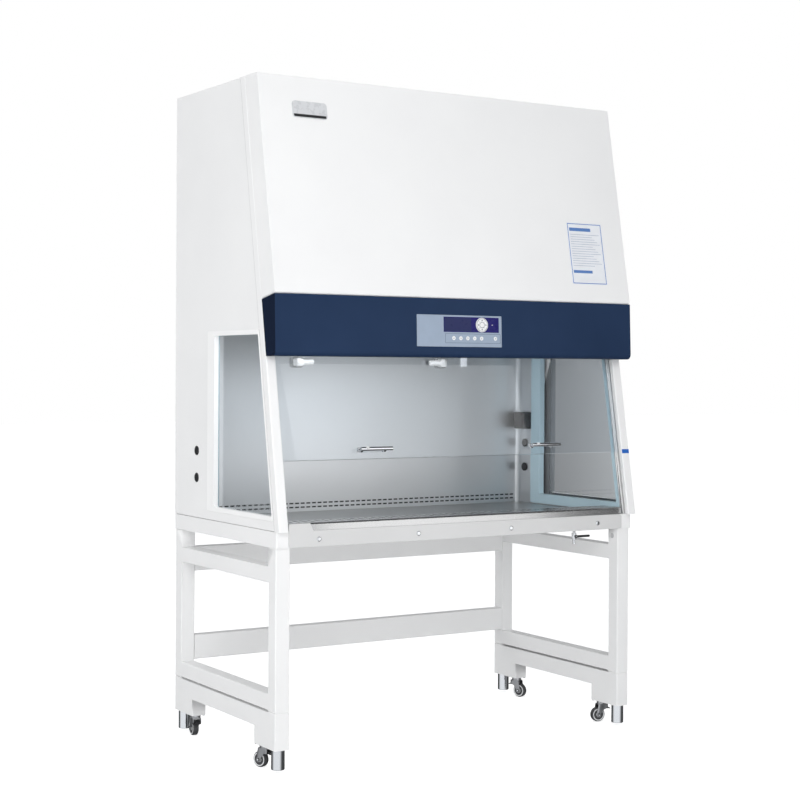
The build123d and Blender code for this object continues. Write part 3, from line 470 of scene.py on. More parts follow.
def addPanelLight(name):
    spec = lights[name]
    lamp = bpy.data.lights.new(name, "AREA")
    lamp.shape = "RECTANGLE"
    lamp.size, lamp.size_y = spec["size"]
    lamp.energy = spec["power"]
    holder = bpy.data.objects.new(name, lamp)
    bpy.context.collection.objects.link(holder)
    holder.location = spec["place"]
    holder.rotation_euler = (Vector(spec["aim"]) - Vector(spec["place"])).to_track_quat("-Z", "Y").to_euler()
    # the strip only shows in polished faces, the others only light the paint
    holder.visible_glossy = spec["shine"]
    holder.visible_diffuse = not spec["shine"]
    holder.visible_transmission = spec["shine"]
    return holder


def directionRamp(sky, spec):
    # grey level that grows along a direction of the surroundings
    place = sky.nodes.new("ShaderNodeTexCoord")
    dot = sky.nodes.new("ShaderNodeVectorMath")
    dot.operation = "DOT_PRODUCT"
    dot.inputs[1].default_value = spec["axis"]
    level = sky.nodes.new("ShaderNodeMapRange")
    level.interpolation_type = "SMOOTHSTEP"
    level.inputs["From Min"].default_value = spec["span"][0]
    level.inputs["From Max"].default_value = spec["span"][1]
    level.inputs["To Min"].default_value = spec["low"]
    level.inputs["To Max"].default_value = spec["high"]
    ground = sky.nodes.new("ShaderNodeBackground")
    ground.inputs["Color"].default_value = (0.95, 0.975, 1.0, 1)
    sky.links.new(place.outputs["Generated"], dot.inputs[0])
    sky.links.new(dot.outputs["Value"], level.inputs["Value"])
    sky.links.new(level.outputs["Result"], ground.inputs["Strength"])
    return ground.outputs["Background"]


def chooseByRay(sky, path, ray, otherwise, there):
    mix = sky.nodes.new("ShaderNodeMixShader")
    sky.links.new(path.outputs[ray], mix.inputs["Fac"])
    sky.links.new(otherwise, mix.inputs[1])
    sky.links.new(there, mix.inputs[2])
    return mix.outputs["Shader"]


def makeFloor():
    leaveEdit()
    bpy.ops.object.select_all(action="DESELECT")
    bpy.ops.mesh.primitive_plane_add(size=60, location=(0, 0, 0))
    floor = bpy.context.object
    floor.name = "studioFloor"
    pale, shader = newCoat("paleFloor", (0.88, 0.88, 0.88), 0.9)
    tree = pale.node_tree
    glow = tree.nodes.new("ShaderNodeEmission")
    path = tree.nodes.new("ShaderNodeLightPath")
    add = tree.nodes.new("ShaderNodeAddShader")
    lift = tree.nodes.new("ShaderNodeMath")
    lift.operation = "MULTIPLY"
    lift.inputs[1].default_value = air["floorLift"]
    tree.links.new(path.outputs["Is Camera Ray"], lift.inputs[0])
    tree.links.new(lift.outputs[0], glow.inputs["Strength"])
    tree.links.new(shader.outputs["BSDF"], add.inputs[0])
    tree.links.new(glow.outputs["Emission"], add.inputs[1])
    tree.links.new(add.outputs["Shader"], tree.nodes["Material Output"].inputs["Surface"])
    floor.data.materials.append(pale)
    # polished parts and panes show the studio, not the floor
    floor.visible_glossy = False
    floor.visible_transmission = False


def makeSky():
    world = bpy.data.worlds.new("studioWorld")
    bpy.context.scene.world = world
    world.use_nodes = True
    sky = world.node_tree
    even = sky.nodes["Background"]
    even.inputs["Color"].default_value = (0.97, 0.985, 1.0, 1)
    even.inputs["Strength"].default_value = air["around"]
    white = sky.nodes.new("ShaderNodeBackground")
    white.inputs["Strength"].default_value = 1.0
    white.inputs["Color"].default_value = (1, 1, 1, 1)
    path = sky.nodes.new("ShaderNodeLightPath")
    shine = directionRamp(sky, air["shine"])
    card = directionRamp(sky, air["card"])
    turned = sky.nodes.new("ShaderNodeTexCoord")
    parts = sky.nodes.new("ShaderNodeSeparateXYZ")
    ahead = sky.nodes.new("ShaderNodeMath")
    ahead.operation = "GREATER_THAN"
    ahead.inputs[1].default_value = 0.0
    behind = sky.nodes.new("ShaderNodeMixShader")
    sky.links.new(turned.outputs["Generated"], parts.inputs[0])
    sky.links.new(parts.outputs["Y"], ahead.inputs[0])
    sky.links.new(ahead.outputs[0], behind.inputs["Fac"])
    sky.links.new(shine, behind.inputs[1])
    sky.links.new(card, behind.inputs[2])
    mixed = chooseByRay(sky, path, "Is Glossy Ray", even.outputs["Background"], shine)
    mixed = chooseByRay(sky, path, "Is Transmission Ray", mixed, behind.outputs["Shader"])
    mixed = chooseByRay(sky, path, "Is Camera Ray", mixed, white.outputs["Background"])
    sky.links.new(mixed, sky.nodes["World Output"].inputs["Surface"])


setCamera()
makeFloor()
makeSky()
for name in lights:
    addPanelLight(name)
bpy.context.scene.view_settings.view_transform = "Standard"
print("camera and studio set")


# sheet metal and stand: merged skins over the frame
standNames = (
    "side_frame_left",
    "side_frame_right",
    "foot_frame_left",
    "foot_frame_right",
    "rear_beam_upper",
    "rear_beam_lower",
)
shellNames = (
    "base_pan",
    "side_panel_left",
    "side_panel_right",
    "rear_panel",
    "top_panel",
    "hood",
    "corner_post_left",
    "corner_post_right",
)
for name in standNames:
    merged(name, whiteFrame)
for name in shellNames:
    merged(name, whiteShell)
merged("sill_panel", sillCoat)


# side windows: raised trim outside in a whiter coat, the trim's own white with a painted highlight on it and
# its reveals, and painted shade on the hollow between the outer skin and the chamber
trimSpec = {
    "raisedFrom": 0.6974,
    "y": (-0.40, 0.135),
    "z": (0.770, 1.372),
    "hollowTo": 0.30,
    "hollowZ": (0.75, 1.40),
}


def isTrim(face):
    spot = face.calc_center_median()
    inY = trimSpec["y"][0] < spot.y < trimSpec["y"][1]
    inZ = trimSpec["z"][0] < spot.z < trimSpec["z"][1]
    return inY and inZ and (abs(spot.x) > trimSpec["raisedFrom"] or abs(face.normal.x) < 0.3)


def inHollow(face, way):
    spot = face.calc_center_median()
    near = spot.y < trimSpec["hollowTo"] and trimSpec["hollowZ"][0] < spot.z < trimSpec["hollowZ"][1]
    inward = face.normal.x * way < -0.9
    jamb = way > 0 and abs(face.normal.y) > 0.7 and isTrim(face)
    return jamb or (near and inward)


for way, side in ((-1, "left"), (1, "right")):
    panel = bpy.data.objects["side_panel_" + side + "_skin"]
    # trim and reveals get the whiter coat, partly painted highlight
    coatFaces(panel, paintedHighlightTrimWhite, isTrim)
    coatFaces(panel, jambShade, lambda face: inHollow(face, way))
fascia = merged("fascia", navyCoat)
# painted shade: the fascia's end caps get the darker copy of the navy
coatFaces(fascia, paintedShadeNavyEnd, lambda face: abs(face.normal.x) >= 0.95)
# painted highlight: the fascia's edge roundings get the lighter copy of the navy
coatFaces(fascia, paintedHighlightNavyEdge, lambda face: 0.2 < abs(face.normal.x) < 0.95)
merged("armrest", steelRoll)
merged("work_tray", steelAcross)
merged("chamber_liner", steelWall)
for side in ("left", "right"):
    merged("window_frame_" + side, blueTrim)
    merged("side_pane_" + side, clearGlass, smooth=20)
merged("sash_glass", clearGlass, "sash", smooth=20)
merged("sash_handles", chrome, "sash", smooth=40)
merged("sill_screws", chrome, smooth=40)
merged("drain_valve", chrome, smooth=30)
merged("drain_lever", blackPlastic, "drain_lever")
merged("control_plate", plateFilm)
merged("display", displayFilm)
merged("nav_pad", whitePlastic, "nav_pad", smooth=40)
for number in range(1, 7):
    merged("button_%d" % number, whitePlastic, "button_%d" % number, smooth=40)
holders = merged("lamp_holders", whitePlastic, smooth=40)
merged("socket_box", blackPlastic)
merged("socket_flap", blackPlastic, "socket_flap")
merged("port_plugs", blackPlastic, smooth=40)
merged("exhaust_grille", grilleSheet)
merged("supply_filter", filterPaper)
merged("exhaust_filter", filterPaper)
corners = ("front_left", "front_right", "rear_left", "rear_right")
for corner in corners:
    merged("caster_fork_" + corner, darkSteel, "caster_" + corner, smooth=40)
    merged("brake_pedal_" + corner, blackPlastic, "pedal_" + corner, smooth=40)
    merged("levelling_foot_" + corner, chrome, "foot_" + corner, smooth=40)
print("skins made")


# places on the sloped faces
slopeSpec = {"facing": 0.7, "level": 0.1, "share": 0.3}


def slopeFrame(node, x, z, lift=0.0):
    # matrix on the front face of a node: X right, Y up the slope, Z outwards
    mesh = nodes[node].data
    facing = []
    for face in mesh.polygons:
        if face.normal.y < -slopeSpec["facing"] and abs(face.normal.x) < slopeSpec["level"]:
            facing.append(face)
    largest = max(face.area for face in facing)

    def depthOf(face):
        anchor = mesh.vertices[face.vertices[0]].co
        return anchor.y - face.normal.z * (z - anchor.z) / face.normal.y

    best = min((face for face in facing if face.area > largest * slopeSpec["share"]), key=depthOf)
    normal = best.normal.normalized()
    spot = Vector((x, depthOf(best), z)) + normal * lift
    across = Vector((1, 0, 0))
    up = normal.cross(across).normalized()
    return Matrix.Translation(spot) @ Matrix((across, up, normal)).transposed().to_4x4()


def placeOn(piece, matrix):
    freeze(piece)
    piece.data.transform(matrix)
    return piece


# casters: tyre and dished disc
wheelSpec = {
    "radius": 0.025,
    "width": 0.0206,
    "treadSetIn": 0.001,
    "treadRound": 0.0042,
    "disc": 0.0212,
    "discProud": 0.0004,
    "rim": 0.0030,
    "groove": 0.0014,
    "dish": 0.0016,
    "face": 0.0075,
    "hubEdge": 0.0010,
    "hubRise": 0.00192,
    "sides": 72,
}


def makeWheel():
    axis = (0, 1, 0)
    sides = wheelSpec["sides"]
    treadWidth = wheelSpec["width"] - wheelSpec["treadSetIn"]
    tread = newRod("tread", wheelSpec["radius"], treadWidth, (0, 0, 0), axis, sides)
    bevelEdges(tread, wheelSpec["treadRound"], lambda e: not e.smooth or e.calc_face_angle(0) > 1.2, 4)
    paint(tread, treadRubber)
    discWidth = wheelSpec["width"] + wheelSpec["discProud"]
    disc = newRod("disc", wheelSpec["disc"], discWidth, (0, 0, 0), axis, sides)

    def caps(face):
        return abs(face.normal.y) > 0.9 and len(face.verts) > 20

    insetFaces(disc, caps, wheelSpec["rim"], 0.0)
    insetFaces(disc, caps, wheelSpec["groove"], -wheelSpec["dish"])
    insetFaces(disc, caps, wheelSpec["face"], 0.0)
    insetFaces(disc, caps, wheelSpec["hubEdge"], wheelSpec["hubRise"])
    paint(disc, wheelGrey)
    return joinPieces("wheelShape", tread, disc)


# axle: nut, washer and the tip of the pin
axleSpec = {
    "nut": {"radius": 0.0062, "length": 0.0318, "sides": 6, "round": 0.0006, "coat": blackPlastic},
    "washer": {"radius": 0.0082, "length": 0.0296, "sides": 48, "round": 0.0004, "coat": darkSteel},
    "tip": {"radius": 0.0033, "length": 0.0342, "sides": 32, "round": 0.0006, "coat": chrome},
}


def makeAxle():
    parts = []
    for name, spec in axleSpec.items():
        part = newRod(name, spec["radius"], spec["length"], (0, 0, 0), (0, 1, 0), spec["sides"])
        roundAll(part, spec["round"], 2, 40)
        parts.append(paint(part, spec["coat"]))
    return joinPieces("axleShape", *parts)


# bearing rings of the swivel head
ringSpec = {
    "upper": {"radius": 0.0178, "height": 0.0022, "z": 0.0688},
    "lower": {"radius": 0.0166, "height": 0.0016, "z": 0.0640},
    "round": 0.0005,
}


def makeRings():
    parts = []
    for name in ("upper", "lower"):
        spec = ringSpec[name]
        parts.append(newRod(name + "Ring", spec["radius"], spec["height"], (0, 0, spec["z"]), (0, 0, 1), 64))
    rings = joinPieces("ringShape", *parts)
    roundAll(rings, ringSpec["round"], 2, 40)
    return paint(rings, chrome)


# bolts that hold the caster's top plate
boltSpec = {
    "x": 0.0195,
    "y": 0.0225,
    "head": {"radius": 0.0042, "height": 0.0030, "z": 0.0725, "sides": 6},
    "washer": {"radius": 0.0056, "height": 0.0010, "z": 0.0736, "sides": 32},
    "round": 0.0003,
}


def makeMountBolts():
    parts = []
    for x in (-boltSpec["x"], boltSpec["x"]):
        for y in (-boltSpec["y"], boltSpec["y"]):
            for name in ("head", "washer"):
                spec = boltSpec[name]
                spot = (x, y, spec["z"])
                parts.append(newRod(name, spec["radius"], spec["height"], spot, (0, 0, 1), spec["sides"]))
    group = joinPieces("mountBoltShape", *parts)
    roundAll(group, boltSpec["round"], 2, 40)
    return paint(group, darkSteel)


jointOf = {joint["name"]: joint for joint in frame["joints"]}
shapes = {"wheel": makeWheel(), "axle": makeAxle(), "rings": makeRings(), "bolts": makeMountBolts()}
for corner in corners:
    stem = Vector(jointOf["swivel_" + corner]["pos_m"])
    hub = Vector(jointOf["roll_" + corner]["pos_m"])
    trail = Vector((hub.x - stem.x, hub.y - stem.y, 0)).normalized()
    side = Vector((0, 0, 1)).cross(trail)
    turn = Matrix((trail, side, Vector((0, 0, 1)))).transposed().to_4x4()
    stemFoot = Matrix.Translation((stem.x, stem.y, 0))
    atHub = Matrix.Translation(hub) @ turn
    wheel = cloned(shapes["wheel"], "wheel_detail_" + corner, atHub)
    finishPiece(wheel, "wheel_" + corner, 30)
    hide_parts("caster_wheel_" + corner)
    axle = cloned(shapes["axle"], "axle_nut_" + corner, atHub)
    finishPiece(axle, "caster_" + corner, 30)
    rings = cloned(shapes["rings"], "swivel_rings_" + corner, stemFoot @ turn)
    finishPiece(rings, "caster_" + corner, 30)
    bolts = cloned(shapes["bolts"], "mount_bolts_" + corner, stemFoot)
    finishPiece(bolts, "cabinet", 30)
for shape in shapes.values():
    bpy.data.objects.remove(shape)
print("casters made")


# marks that are laid on the controls
markSpec = {"height": 0.0003, "ringWidth": 0.0006}


def faceFrame(node, lift=0.0):
    # matrix at the middle of a control's front face
    low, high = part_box(node)
    return slopeFrame(node, (low.x + high.x) / 2, (low.z + high.z) / 2, lift)


def arrowMark(name, x, y, size, angle):
    leaveEdit()
    bpy.ops.object.select_all(action="DESELECT")
    bpy.ops.mesh.primitive_cylinder_add(
        vertices=3, radius=size, depth=markSpec["height"], location=(x, y, 0), rotation=(0, 0, angle)
    )
    mark = bpy.context.object
    mark.name = name
    freeze(mark)
    insetFaces(mark, lambda f: f.normal.z > 0.9, size * 0.15, 0.00005)
    return paint(mark, markInk)


def barMark(name, x, y, width, height, angle=0.0):
    mark = newPlate(name, width, height, -markSpec["height"] / 2, markSpec["height"] / 2)
    mark.data.transform(Matrix.Translation((x, y, 0)) @ Matrix.Rotation(angle, 4, "Z"))
    roundAll(mark, min(width, height) * 0.2, 2, 60)
    return paint(mark, markInk)


def ringMark(name, x, y, radius, width=markSpec["ringWidth"]):
    mark = newRod(name, radius, markSpec["height"], (x, y, 0), (0, 0, 1), 32)
    editFaces(mark, lambda f: abs(f.normal.z) > 0.9 and len(f.verts) > 20)
    openRing(width)
    return paint(mark, markInk)


# navigation pad: grooved disc with arrows, dividing lines and two rings
padSpec = {
    "radius": 0.0237,
    "setIn": 0.0004,
    "thick": 0.0012,
    "ringAt": 0.0195,
    "groove": 0.0006,
    "band": 0.0085,
    "centreEdge": 0.0005,
    "centreRise": 0.0007,
    "round": 0.00015,
    "markLift": 0.0006,
    "arrowAt": 0.0150,
    "arrowSize": 0.0031,
    "arrowLift": 0.0007,
    "lineAt": 0.0148,
    "lineLength": 0.0090,
    "lineWidth": 0.00035,
    "rings": ((0.0100, 0.0012), (0.0214, 0.0010)),
    "lift": 0.0002,
}


def makePad():
    pad = newRod("padShape", padSpec["radius"] - padSpec["setIn"], padSpec["thick"], (0, 0, 0), (0, 0, 1), 96)

    def top(face):
        return face.normal.z > 0.9 and len(face.verts) > 20

    insetFaces(pad, top, padSpec["radius"] - padSpec["ringAt"], 0.0)
    insetFaces(pad, top, padSpec["groove"], -padSpec["groove"])
    insetFaces(pad, top, padSpec["groove"], padSpec["groove"])
    insetFaces(pad, top, padSpec["band"], 0.0)
    insetFaces(pad, top, padSpec["centreEdge"], -padSpec["groove"])
    insetFaces(pad, top, padSpec["centreEdge"], padSpec["centreRise"])
    roundAll(pad, padSpec["round"], 2, 60)
    return paint(pad, whitePlastic)


def makePadMarks():
    quarter = math.pi / 2
    arrows, lines, rings = [], [], []
    for step in range(4):
        angle = step * quarter
        x, y = padSpec["arrowAt"] * math.cos(angle), padSpec["arrowAt"] * math.sin(angle)
        arrow = arrowMark("arrow%d" % step, x, y, padSpec["arrowSize"], angle - quarter)
        arrow.data.transform(Matrix.Translation((0, 0, padSpec["arrowLift"])))
        arrows.append(arrow)
    for step in range(4):
        angle = quarter / 2 + step * quarter
        x, y = padSpec["lineAt"] * math.cos(angle), padSpec["lineAt"] * math.sin(angle)
        line = barMark("division%d" % step, x, y, padSpec["lineLength"], padSpec["lineWidth"], angle)
        line.data.transform(Matrix.Translation((0, 0, padSpec["markLift"])))
        lines.append(line)
    for step, (radius, width) in enumerate(padSpec["rings"]):
        ring = ringMark("ring%d" % step, 0, 0, radius, width)
        ring.data.transform(Matrix.Translation((0, 0, padSpec["markLift"])))
        rings.append(ring)
    return arrows + lines + rings


padPiece = joinPieces("pad_face", makePad(), *makePadMarks())
placeOn(padPiece, faceFrame("nav_pad", padSpec["lift"]))
finishPiece(padPiece, "nav_pad", 30)


# button marks: up, down, lamp ring, two bars, ring with a dot, power
buttonSpec = {
    "arrow": 0.0026,
    "ring": 0.0027,
    "powerRing": 0.0028,
    "barAt": 0.0012,
    "bar": (0.0048, 0.0008),
    "dot": (0.0014, 0.0014),
    "powerBarAt": 0.0022,
    "powerBar": (0.0007, 0.0026),
    "lift": 0.0001,
}


def buttonMarks(number):
    if number == 1:
        return [arrowMark("mark", 0, 0, buttonSpec["arrow"], 0)]
    if number == 2:
        return [arrowMark("mark", 0, 0, buttonSpec["arrow"], math.pi)]
    if number == 3:
        return [ringMark("mark", 0, 0, buttonSpec["ring"])]
    if number == 4:
        return [barMark("mark", 0, way * buttonSpec["barAt"], *buttonSpec["bar"]) for way in (1, -1)]
    if number == 5:
        return [ringMark("mark", 0, 0, buttonSpec["ring"]), barMark("mark", 0, 0, *buttonSpec["dot"])]
    power = barMark("mark", 0, buttonSpec["powerBarAt"], *buttonSpec["powerBar"])
    return [ringMark("mark", 0, 0, buttonSpec["powerRing"]), power]


for number in range(1, 7):
    name = "button_mark_%d" % number
    mark = joinPieces(name, *buttonMarks(number))
    placeOn(mark, faceFrame("button_%d" % number, buttonSpec["lift"]))
    finishPiece(mark, "button_%d" % number, 30)


# display: dark screen in its left part, a setting tick, and a thin frame round the buttons
screenSpec = {
    "left": -0.0825,
    "right": 0.024,
    "low": 1.3705,
    "high": 1.4155,
    "thick": 0.0006,
    "round": 0.0002,
}
groupSpec = {"left": -0.078, "right": 0.140, "z": 1.3475, "height": 0.030, "line": 0.0009, "lift": 0.0001}
tickSpec = {"x": 0.108, "z": 1.393, "size": (0.0050, 0.0018), "lift": 0.0002}


def makeScreen():
    width, height = screenSpec["right"] - screenSpec["left"], screenSpec["high"] - screenSpec["low"]
    screen = newPlate("display_screen", width, height, -screenSpec["thick"] / 2, screenSpec["thick"] / 2)
    roundAll(screen, screenSpec["round"], 2, 60)
    paint(screen, screenFilm)
    middle = (screenSpec["left"] + screenSpec["right"]) / 2
    placeOn(screen, slopeFrame("display", middle, (screenSpec["low"] + screenSpec["high"]) / 2))
    finishPiece(screen, "cabinet", 30)


def makeButtonFrame():
    width, height, line = groupSpec["right"] - groupSpec["left"], groupSpec["height"], groupSpec["line"]
    bars = [barMark("frameBar", 0, way * height / 2, width, line) for way in (-1, 1)]
    bars += [barMark("frameBar", way * width / 2, 0, line, height) for way in (-1, 1)]
    group = joinPieces("button_frame", *bars)
    middle = (groupSpec["left"] + groupSpec["right"]) / 2
    placeOn(group, slopeFrame("control_plate", middle, groupSpec["z"], groupSpec["lift"]))
    finishPiece(group, "cabinet", 30)


def makeTick():
    tick = barMark("setting_tick", 0, 0, *tickSpec["size"])
    paint(tick, whitePlastic)
    placeOn(tick, slopeFrame("display", tickSpec["x"], tickSpec["z"], tickSpec["lift"]))
    finishPiece(tick, "cabinet", 30)


makeScreen()
makeButtonFrame()
makeTick()
print("controls made")


# lamp holders: grey back plates with a screw below each body
holderSpec = {
    "x": 0.3,
    "plateDepth": 0.0034,
    "screwRadius": 0.0026,
    "screwDrop": 0.0150,
    "screwHeight": 0.0014,
    "screwSetIn": 0.003,
    "socket": 0.0010,
    "socketDepth": 0.0004,
}
holderLow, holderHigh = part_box("lamp_holders")
wallY = holderHigh.y
coatFaces(holders, greyPlastic, lambda f: f.calc_center_median().y > wallY - holderSpec["plateDepth"])


def makeHolderScrews():
    y = wallY - holderSpec["screwSetIn"] - holderSpec["screwHeight"] / 2
    z = (holderLow.z + holderHigh.z) / 2 - holderSpec["screwDrop"]
    screws = []
    for way in (-1, 1):
        spot = (way * holderSpec["x"], y, z)
        screw = newRod(
            "holderScrew", holderSpec["screwRadius"], holderSpec["screwHeight"], spot, (0, -1, 0), 24
        )
        insetFaces(screw, lambda f: f.normal.y < -0.9, holderSpec["socket"], -holderSpec["socketDepth"])
        screws.append(paint(screw, chrome))
    finishPiece(joinPieces("holder_screws", *screws), "cabinet", 30)


makeHolderScrews()


# sash handles: a white collar with two dark screws and a square foot at the left of each rod
collarSpec = {
    "length": 0.0120,
    "radius": 0.0066,
    "round": 0.0012,
    "inset": 0.0170,
    "rodLength": 0.118,
    "rodLift": 0.027,
    "foot": 0.0140,
    "footHalf": 0.0058,
    "footLow": 0.0004,
    "footHigh": 0.0090,
    "footRound": 0.0020,
    "screw": 0.0014,
    "screwHeight": 0.0012,
    "screwStep": 0.0030,
    "screwSide": -0.0004,
}
handleLow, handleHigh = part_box("sash_handles")
glassFrame = slopeFrame("sash_glass", 0.0, (handleLow.z + handleHigh.z) / 2)


def makeCollar(start, name):
    x = start + collarSpec["inset"] + collarSpec["length"] / 2
    lift, half = collarSpec["rodLift"], collarSpec["footHalf"]
    collar = newRod("collar", collarSpec["radius"], collarSpec["length"], (x, 0, lift), (1, 0, 0), 48)
    roundAll(collar, collarSpec["round"], 3, 40)
    paint(collar, whitePlastic)
    footEnd = start + collarSpec["foot"]
    foot = newBlock("foot", (start, -half, collarSpec["footLow"]), (footEnd, half, collarSpec["footHigh"]))
    roundAll(foot, collarSpec["footRound"], 3, 40)
    paint(foot, chrome)
    parts = [collar, foot]
    for step in (-collarSpec["screwStep"], collarSpec["screwStep"]):
        spot = (x + step, collarSpec["screwSide"], lift + collarSpec["radius"])
        screw = newRod("screw", collarSpec["screw"], collarSpec["screwHeight"], spot, (0, 0, 1), 20)
        parts.append(paint(screw, blackPlastic))
    group = joinPieces(name, *parts)
    placeOn(group, glassFrame)
    finishPiece(group, "sash", 30)


makeCollar(handleLow.x, "handle_collar_left")
makeCollar(handleHigh.x - collarSpec["rodLength"], "handle_collar_right")


# plastic plugs that close the bolt holes on the inner face of each front leg
plugSpec = {
    "radius": 0.0085,
    "height": 0.0016,
    "drop": 0.028,
    "x": 0.6452,
    "y": -0.328,
    "rim": 0.0022,
    "dishEdge": 0.0008,
    "dish": 0.0009,
}


def makePlugs():
    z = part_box("base_pan")[0].z - plugSpec["drop"]
    plugs = []
    for way in (-1, 1):
        spot = (way * (plugSpec["x"] - plugSpec["height"] / 2), plugSpec["y"], z)
        plug = newRod("plug", plugSpec["radius"], plugSpec["height"], spot, (-way, 0, 0), 40)
        insetFaces(plug, lambda f: abs(f.normal.x) > 0.9, plugSpec["rim"], 0.0)
        middle = lambda f: abs(f.normal.x) > 0.9 and len(f.verts) > 20
        insetFaces(plug, middle, plugSpec["dishEdge"], -plugSpec["dish"])
        plugs.append(paint(plug, plugGrey))
    finishPiece(joinPieces("leg_plugs", *plugs), "cabinet", 30)


makePlugs()
print("holders, collars and plugs made")


# seals in the seams between the corner posts and the side panels
sealSpec = {
    "skinX": 0.7,
    "lean": 10,
    "width": 0.0030,
    "thick": 0.0018,
    "setIn": 0.0020,
    "gapAt": 0.0014,
    "short": 0.003,
    "round": 0.0002,
}


def makeSeal(way, name):
    low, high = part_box("corner_post_" + name)
    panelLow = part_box("side_panel_" + name)[0]
    lean = math.radians(sealSpec["lean"])
    slant = math.tan(lean)
    length = (high.z - panelLow.z) / math.cos(lean) - sealSpec["short"]
    # rear lower corner of the post, then up along the slope
    rearLow = high.y - slant * (high.z - low.z)
    centreZ = (panelLow.z + high.z) / 2
    centreY = rearLow + slant * (centreZ - low.z) + sealSpec["gapAt"]
    seal = newPlate("seal_" + name, sealSpec["thick"], sealSpec["width"], -length / 2, length / 2)
    roundAll(seal, sealSpec["round"], 1, 60)
    place = Matrix.Translation((way * (sealSpec["skinX"] - sealSpec["setIn"]), centreY, centreZ))
    seal.data.transform(place @ Matrix.Rotation(-lean, 4, "X"))
    paint(seal, sealGrey)
    finishPiece(seal, "cabinet", 30)


makeSeal(-1, "left")
makeSeal(1, "right")


# painted shade: a dark strip in the gap between the sill and the armrest, and a dark wall behind the exhaust
# slots for the shade inside the duct
gapShadeSpec = {"low": (-0.653, -0.3648, 0.7684), "high": (0.653, -0.3632, 0.7700), "round": 0.0004}
ductShadeSpec = {"low": (-0.62, 0.2569, 0.750), "high": (0.62, 0.2581, 0.840), "rim": 0.004, "step": 0.0003}
# dark strip laid into the sill and armrest gap as painted shade
gapShade = newBlock("sill_gapShade", gapShadeSpec["low"], gapShadeSpec["high"])
roundAll(gapShade, gapShadeSpec["round"], 2, 60)
paint(gapShade, sealGrey)
finishPiece(gapShade, "cabinet", 30)
# dark backing behind the slots: painted shade inside the duct
ductShade = newBlock("ductShade_backing", ductShadeSpec["low"], ductShadeSpec["high"])
insetFaces(ductShade, lambda f: f.normal.y < -0.9, ductShadeSpec["rim"], -ductShadeSpec["step"])
paint(ductShade, blackPlastic)
finishPiece(ductShade, "cabinet", 30)
print("seals made")


def roundCorners(plate, thick, radius, steps):
    # bevel only the short edges that run through the plate
    bevelEdges(plate, radius, lambda e: abs((e.verts[0].co - e.verts[1].co).z) > thick * 0.9, steps)


# badge plate: silver, bowed, with a dark strip along its foot, and no wording
badgeSpec = {
    "x": -0.5225,
    "z": 2.0635,
    "width": 0.125,
    "height": 0.054,
    "thick": 0.0032,
    "corner": 0.010,
    "bow": 0.004,
    "lowerBow": 0.4,
    "rim": 0.0022,
    "dishEdge": 0.0010,
    "dish": 0.0008,
    "round": 0.0005,
    "stripSide": 0.004,
    "stripLow": 0.0035,
    "stripHigh": 0.0125,
    "stripBack": 0.001,
    "stripFront": 0.0002,
    "stripRound": 0.0006,
}


def makeBadge():
    spec = badgeSpec
    w, h, t = spec["width"] / 2, spec["height"] / 2, spec["thick"]
    plate = newPlate("badge_plate", spec["width"], spec["height"], 0, t)
    roundCorners(plate, t, spec["corner"], 6)
    for vertex in plate.data.vertices:
        rise = 1 if vertex.co.y > 0 else spec["lowerBow"]
        vertex.co.y += spec["bow"] * (1 - (vertex.co.x / w) ** 2) * rise
    insetFaces(plate, lambda f: f.normal.z > 0.9, spec["rim"], 0.0)
    middle = lambda f: f.normal.z > 0.9 and f.calc_center_bounds().length < 0.02
    insetFaces(plate, middle, spec["dishEdge"], -spec["dish"])
    roundAll(plate, spec["round"], 2, 45)
    paint(plate, badgeSilver)
    stripLow = (-w + spec["stripSide"], -h + spec["stripLow"], t - spec["stripBack"])
    stripHigh = (w - spec["stripSide"], -h + spec["stripHigh"], t - spec["stripFront"])
    strip = newBlock("badge_strip", stripLow, stripHigh)
    roundAll(strip, spec["stripRound"], 2, 45)
    paint(strip, blackPlastic)
    badge = joinPieces("badge_plate", plate, strip)
    placeOn(badge, slopeFrame("hood", spec["x"], spec["z"]))
    finishPiece(badge, "cabinet", 30)


# label sheet: blue border, two plain bars and plain rows, and no wording
labelSpec = {
    "x": 0.533,
    "z": 1.649,
    "width": 0.152,
    "height": 0.219,
    "thick": 0.0006,
    "corner": 0.004,
    "proud": 0.0002,
    "border": 0.003,
    "borderWidth": 0.0022,
    "barSide": 0.010,
    "header": {"short": 0.050, "low": 0.189, "high": 0.201},
    "footer": {"short": 0.060, "low": 0.040, "high": 0.050},
    "barRound": 0.0001,
    "rows": 14,
    "pitch": 0.0085,
    "rowTop": 0.042,
    "rowSide": 0.012,
    "rowEnd": 0.014,
    "rowStep": 0.011,
    "rowHalf": 0.0008,
    "rowProud": 0.0001,
}


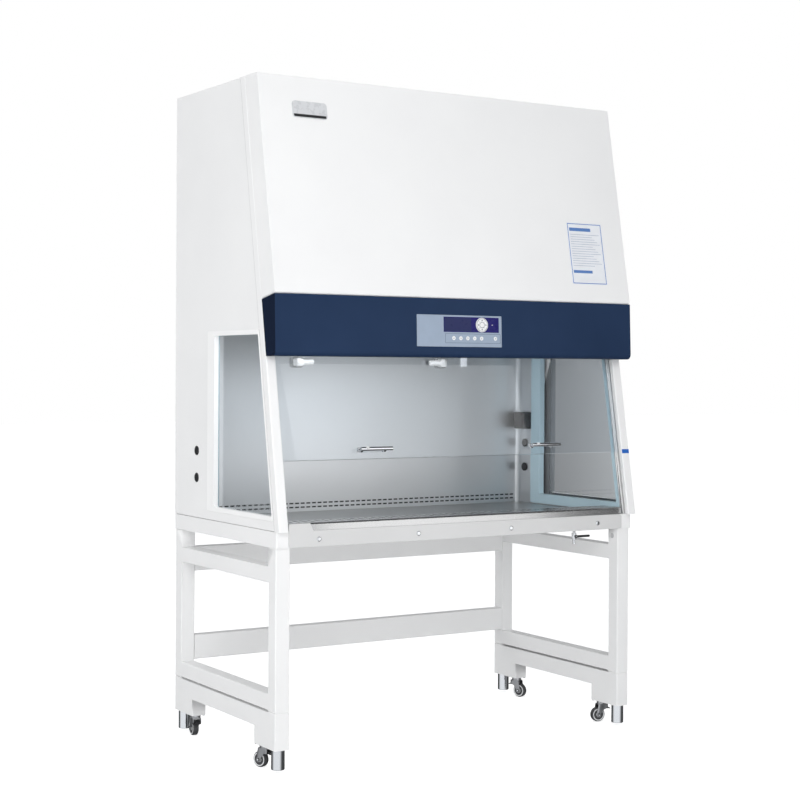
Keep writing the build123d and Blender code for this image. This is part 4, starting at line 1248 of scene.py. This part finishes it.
def makeLabel():
    spec = labelSpec
    w, h, t = spec["width"] / 2, spec["height"] / 2, spec["thick"]
    sheet = newPlate("label_sheet", spec["width"], spec["height"], 0, t)
    roundCorners(sheet, t, spec["corner"], 4)
    parts = [paint(sheet, labelWhite)]
    edge = 2 * spec["border"]
    border = newPlate("label_border", spec["width"] - edge, spec["height"] - edge, t * 0.5, t + spec["proud"])
    editFaces(border, lambda f: abs(f.normal.z) > 0.9)
    openRing(spec["borderWidth"])
    parts.append(paint(border, markBlue))
    for name in ("header", "footer"):
        low = (-w + spec["barSide"], -h + spec[name]["low"], t * 0.5)
        high = (w - spec[name]["short"], -h + spec[name]["high"], t + spec["proud"])
        bar = newBlock("label_" + name, low, high)
        roundAll(bar, spec["barRound"], 1, 60)
        parts.append(paint(bar, labelBlue))
    for step in range(spec["rows"]):
        y = h - spec["rowTop"] - step * spec["pitch"]
        end = w - spec["rowEnd"] - spec["rowStep"] * (step * 3 % 4)
        low = (-w + spec["rowSide"], y - spec["rowHalf"], t * 0.5)
        row = newBlock("row", low, (end, y + spec["rowHalf"], t + spec["rowProud"]))
        parts.append(paint(row, rowGrey))
    label = joinPieces("label_sheet", *parts)
    placeOn(label, slopeFrame("hood", spec["x"], spec["z"]))
    finishPiece(label, "cabinet", 30)


# small blank tag high on the chamber's back wall
tagSpec = {
    "x": 0.406,
    "z": 1.2725,
    "width": 0.028,
    "height": 0.033,
    "back": 0.0001,
    "front": 0.0006,
    "rim": 0.002,
    "step": 0.0001,
}


def makeTag():
    spec = tagSpec
    low = (spec["x"] - spec["width"] / 2, wallY - spec["front"], spec["z"] - spec["height"] / 2)
    high = (spec["x"] + spec["width"] / 2, wallY - spec["back"], spec["z"] + spec["height"] / 2)
    tag = newBlock("wall_tag", low, high)
    insetFaces(tag, lambda f: f.normal.y < -0.9, spec["rim"], -spec["step"])
    paint(tag, labelWhite)
    finishPiece(tag, "cabinet", 30)


# blue stripe on the right post that marks the sash height
stripeSpec = {"z": 0.963, "height": 0.0145, "side": 0.0012, "back": 0.0002, "front": 0.0003, "round": 0.0001}


def makeStripe():
    spec = stripeSpec
    low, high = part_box("corner_post_right")
    width = high.x - low.x - 2 * spec["side"]
    stripe = newPlate("height_mark", width, spec["height"], -spec["back"], spec["front"])
    roundAll(stripe, spec["round"], 1, 60)
    paint(stripe, markBlue)
    placeOn(stripe, slopeFrame("corner_post_right", (low.x + high.x) / 2, spec["z"]))
    finishPiece(stripe, "cabinet", 30)


makeBadge()
makeLabel()
makeTag()
makeStripe()
print("plates and marks made")
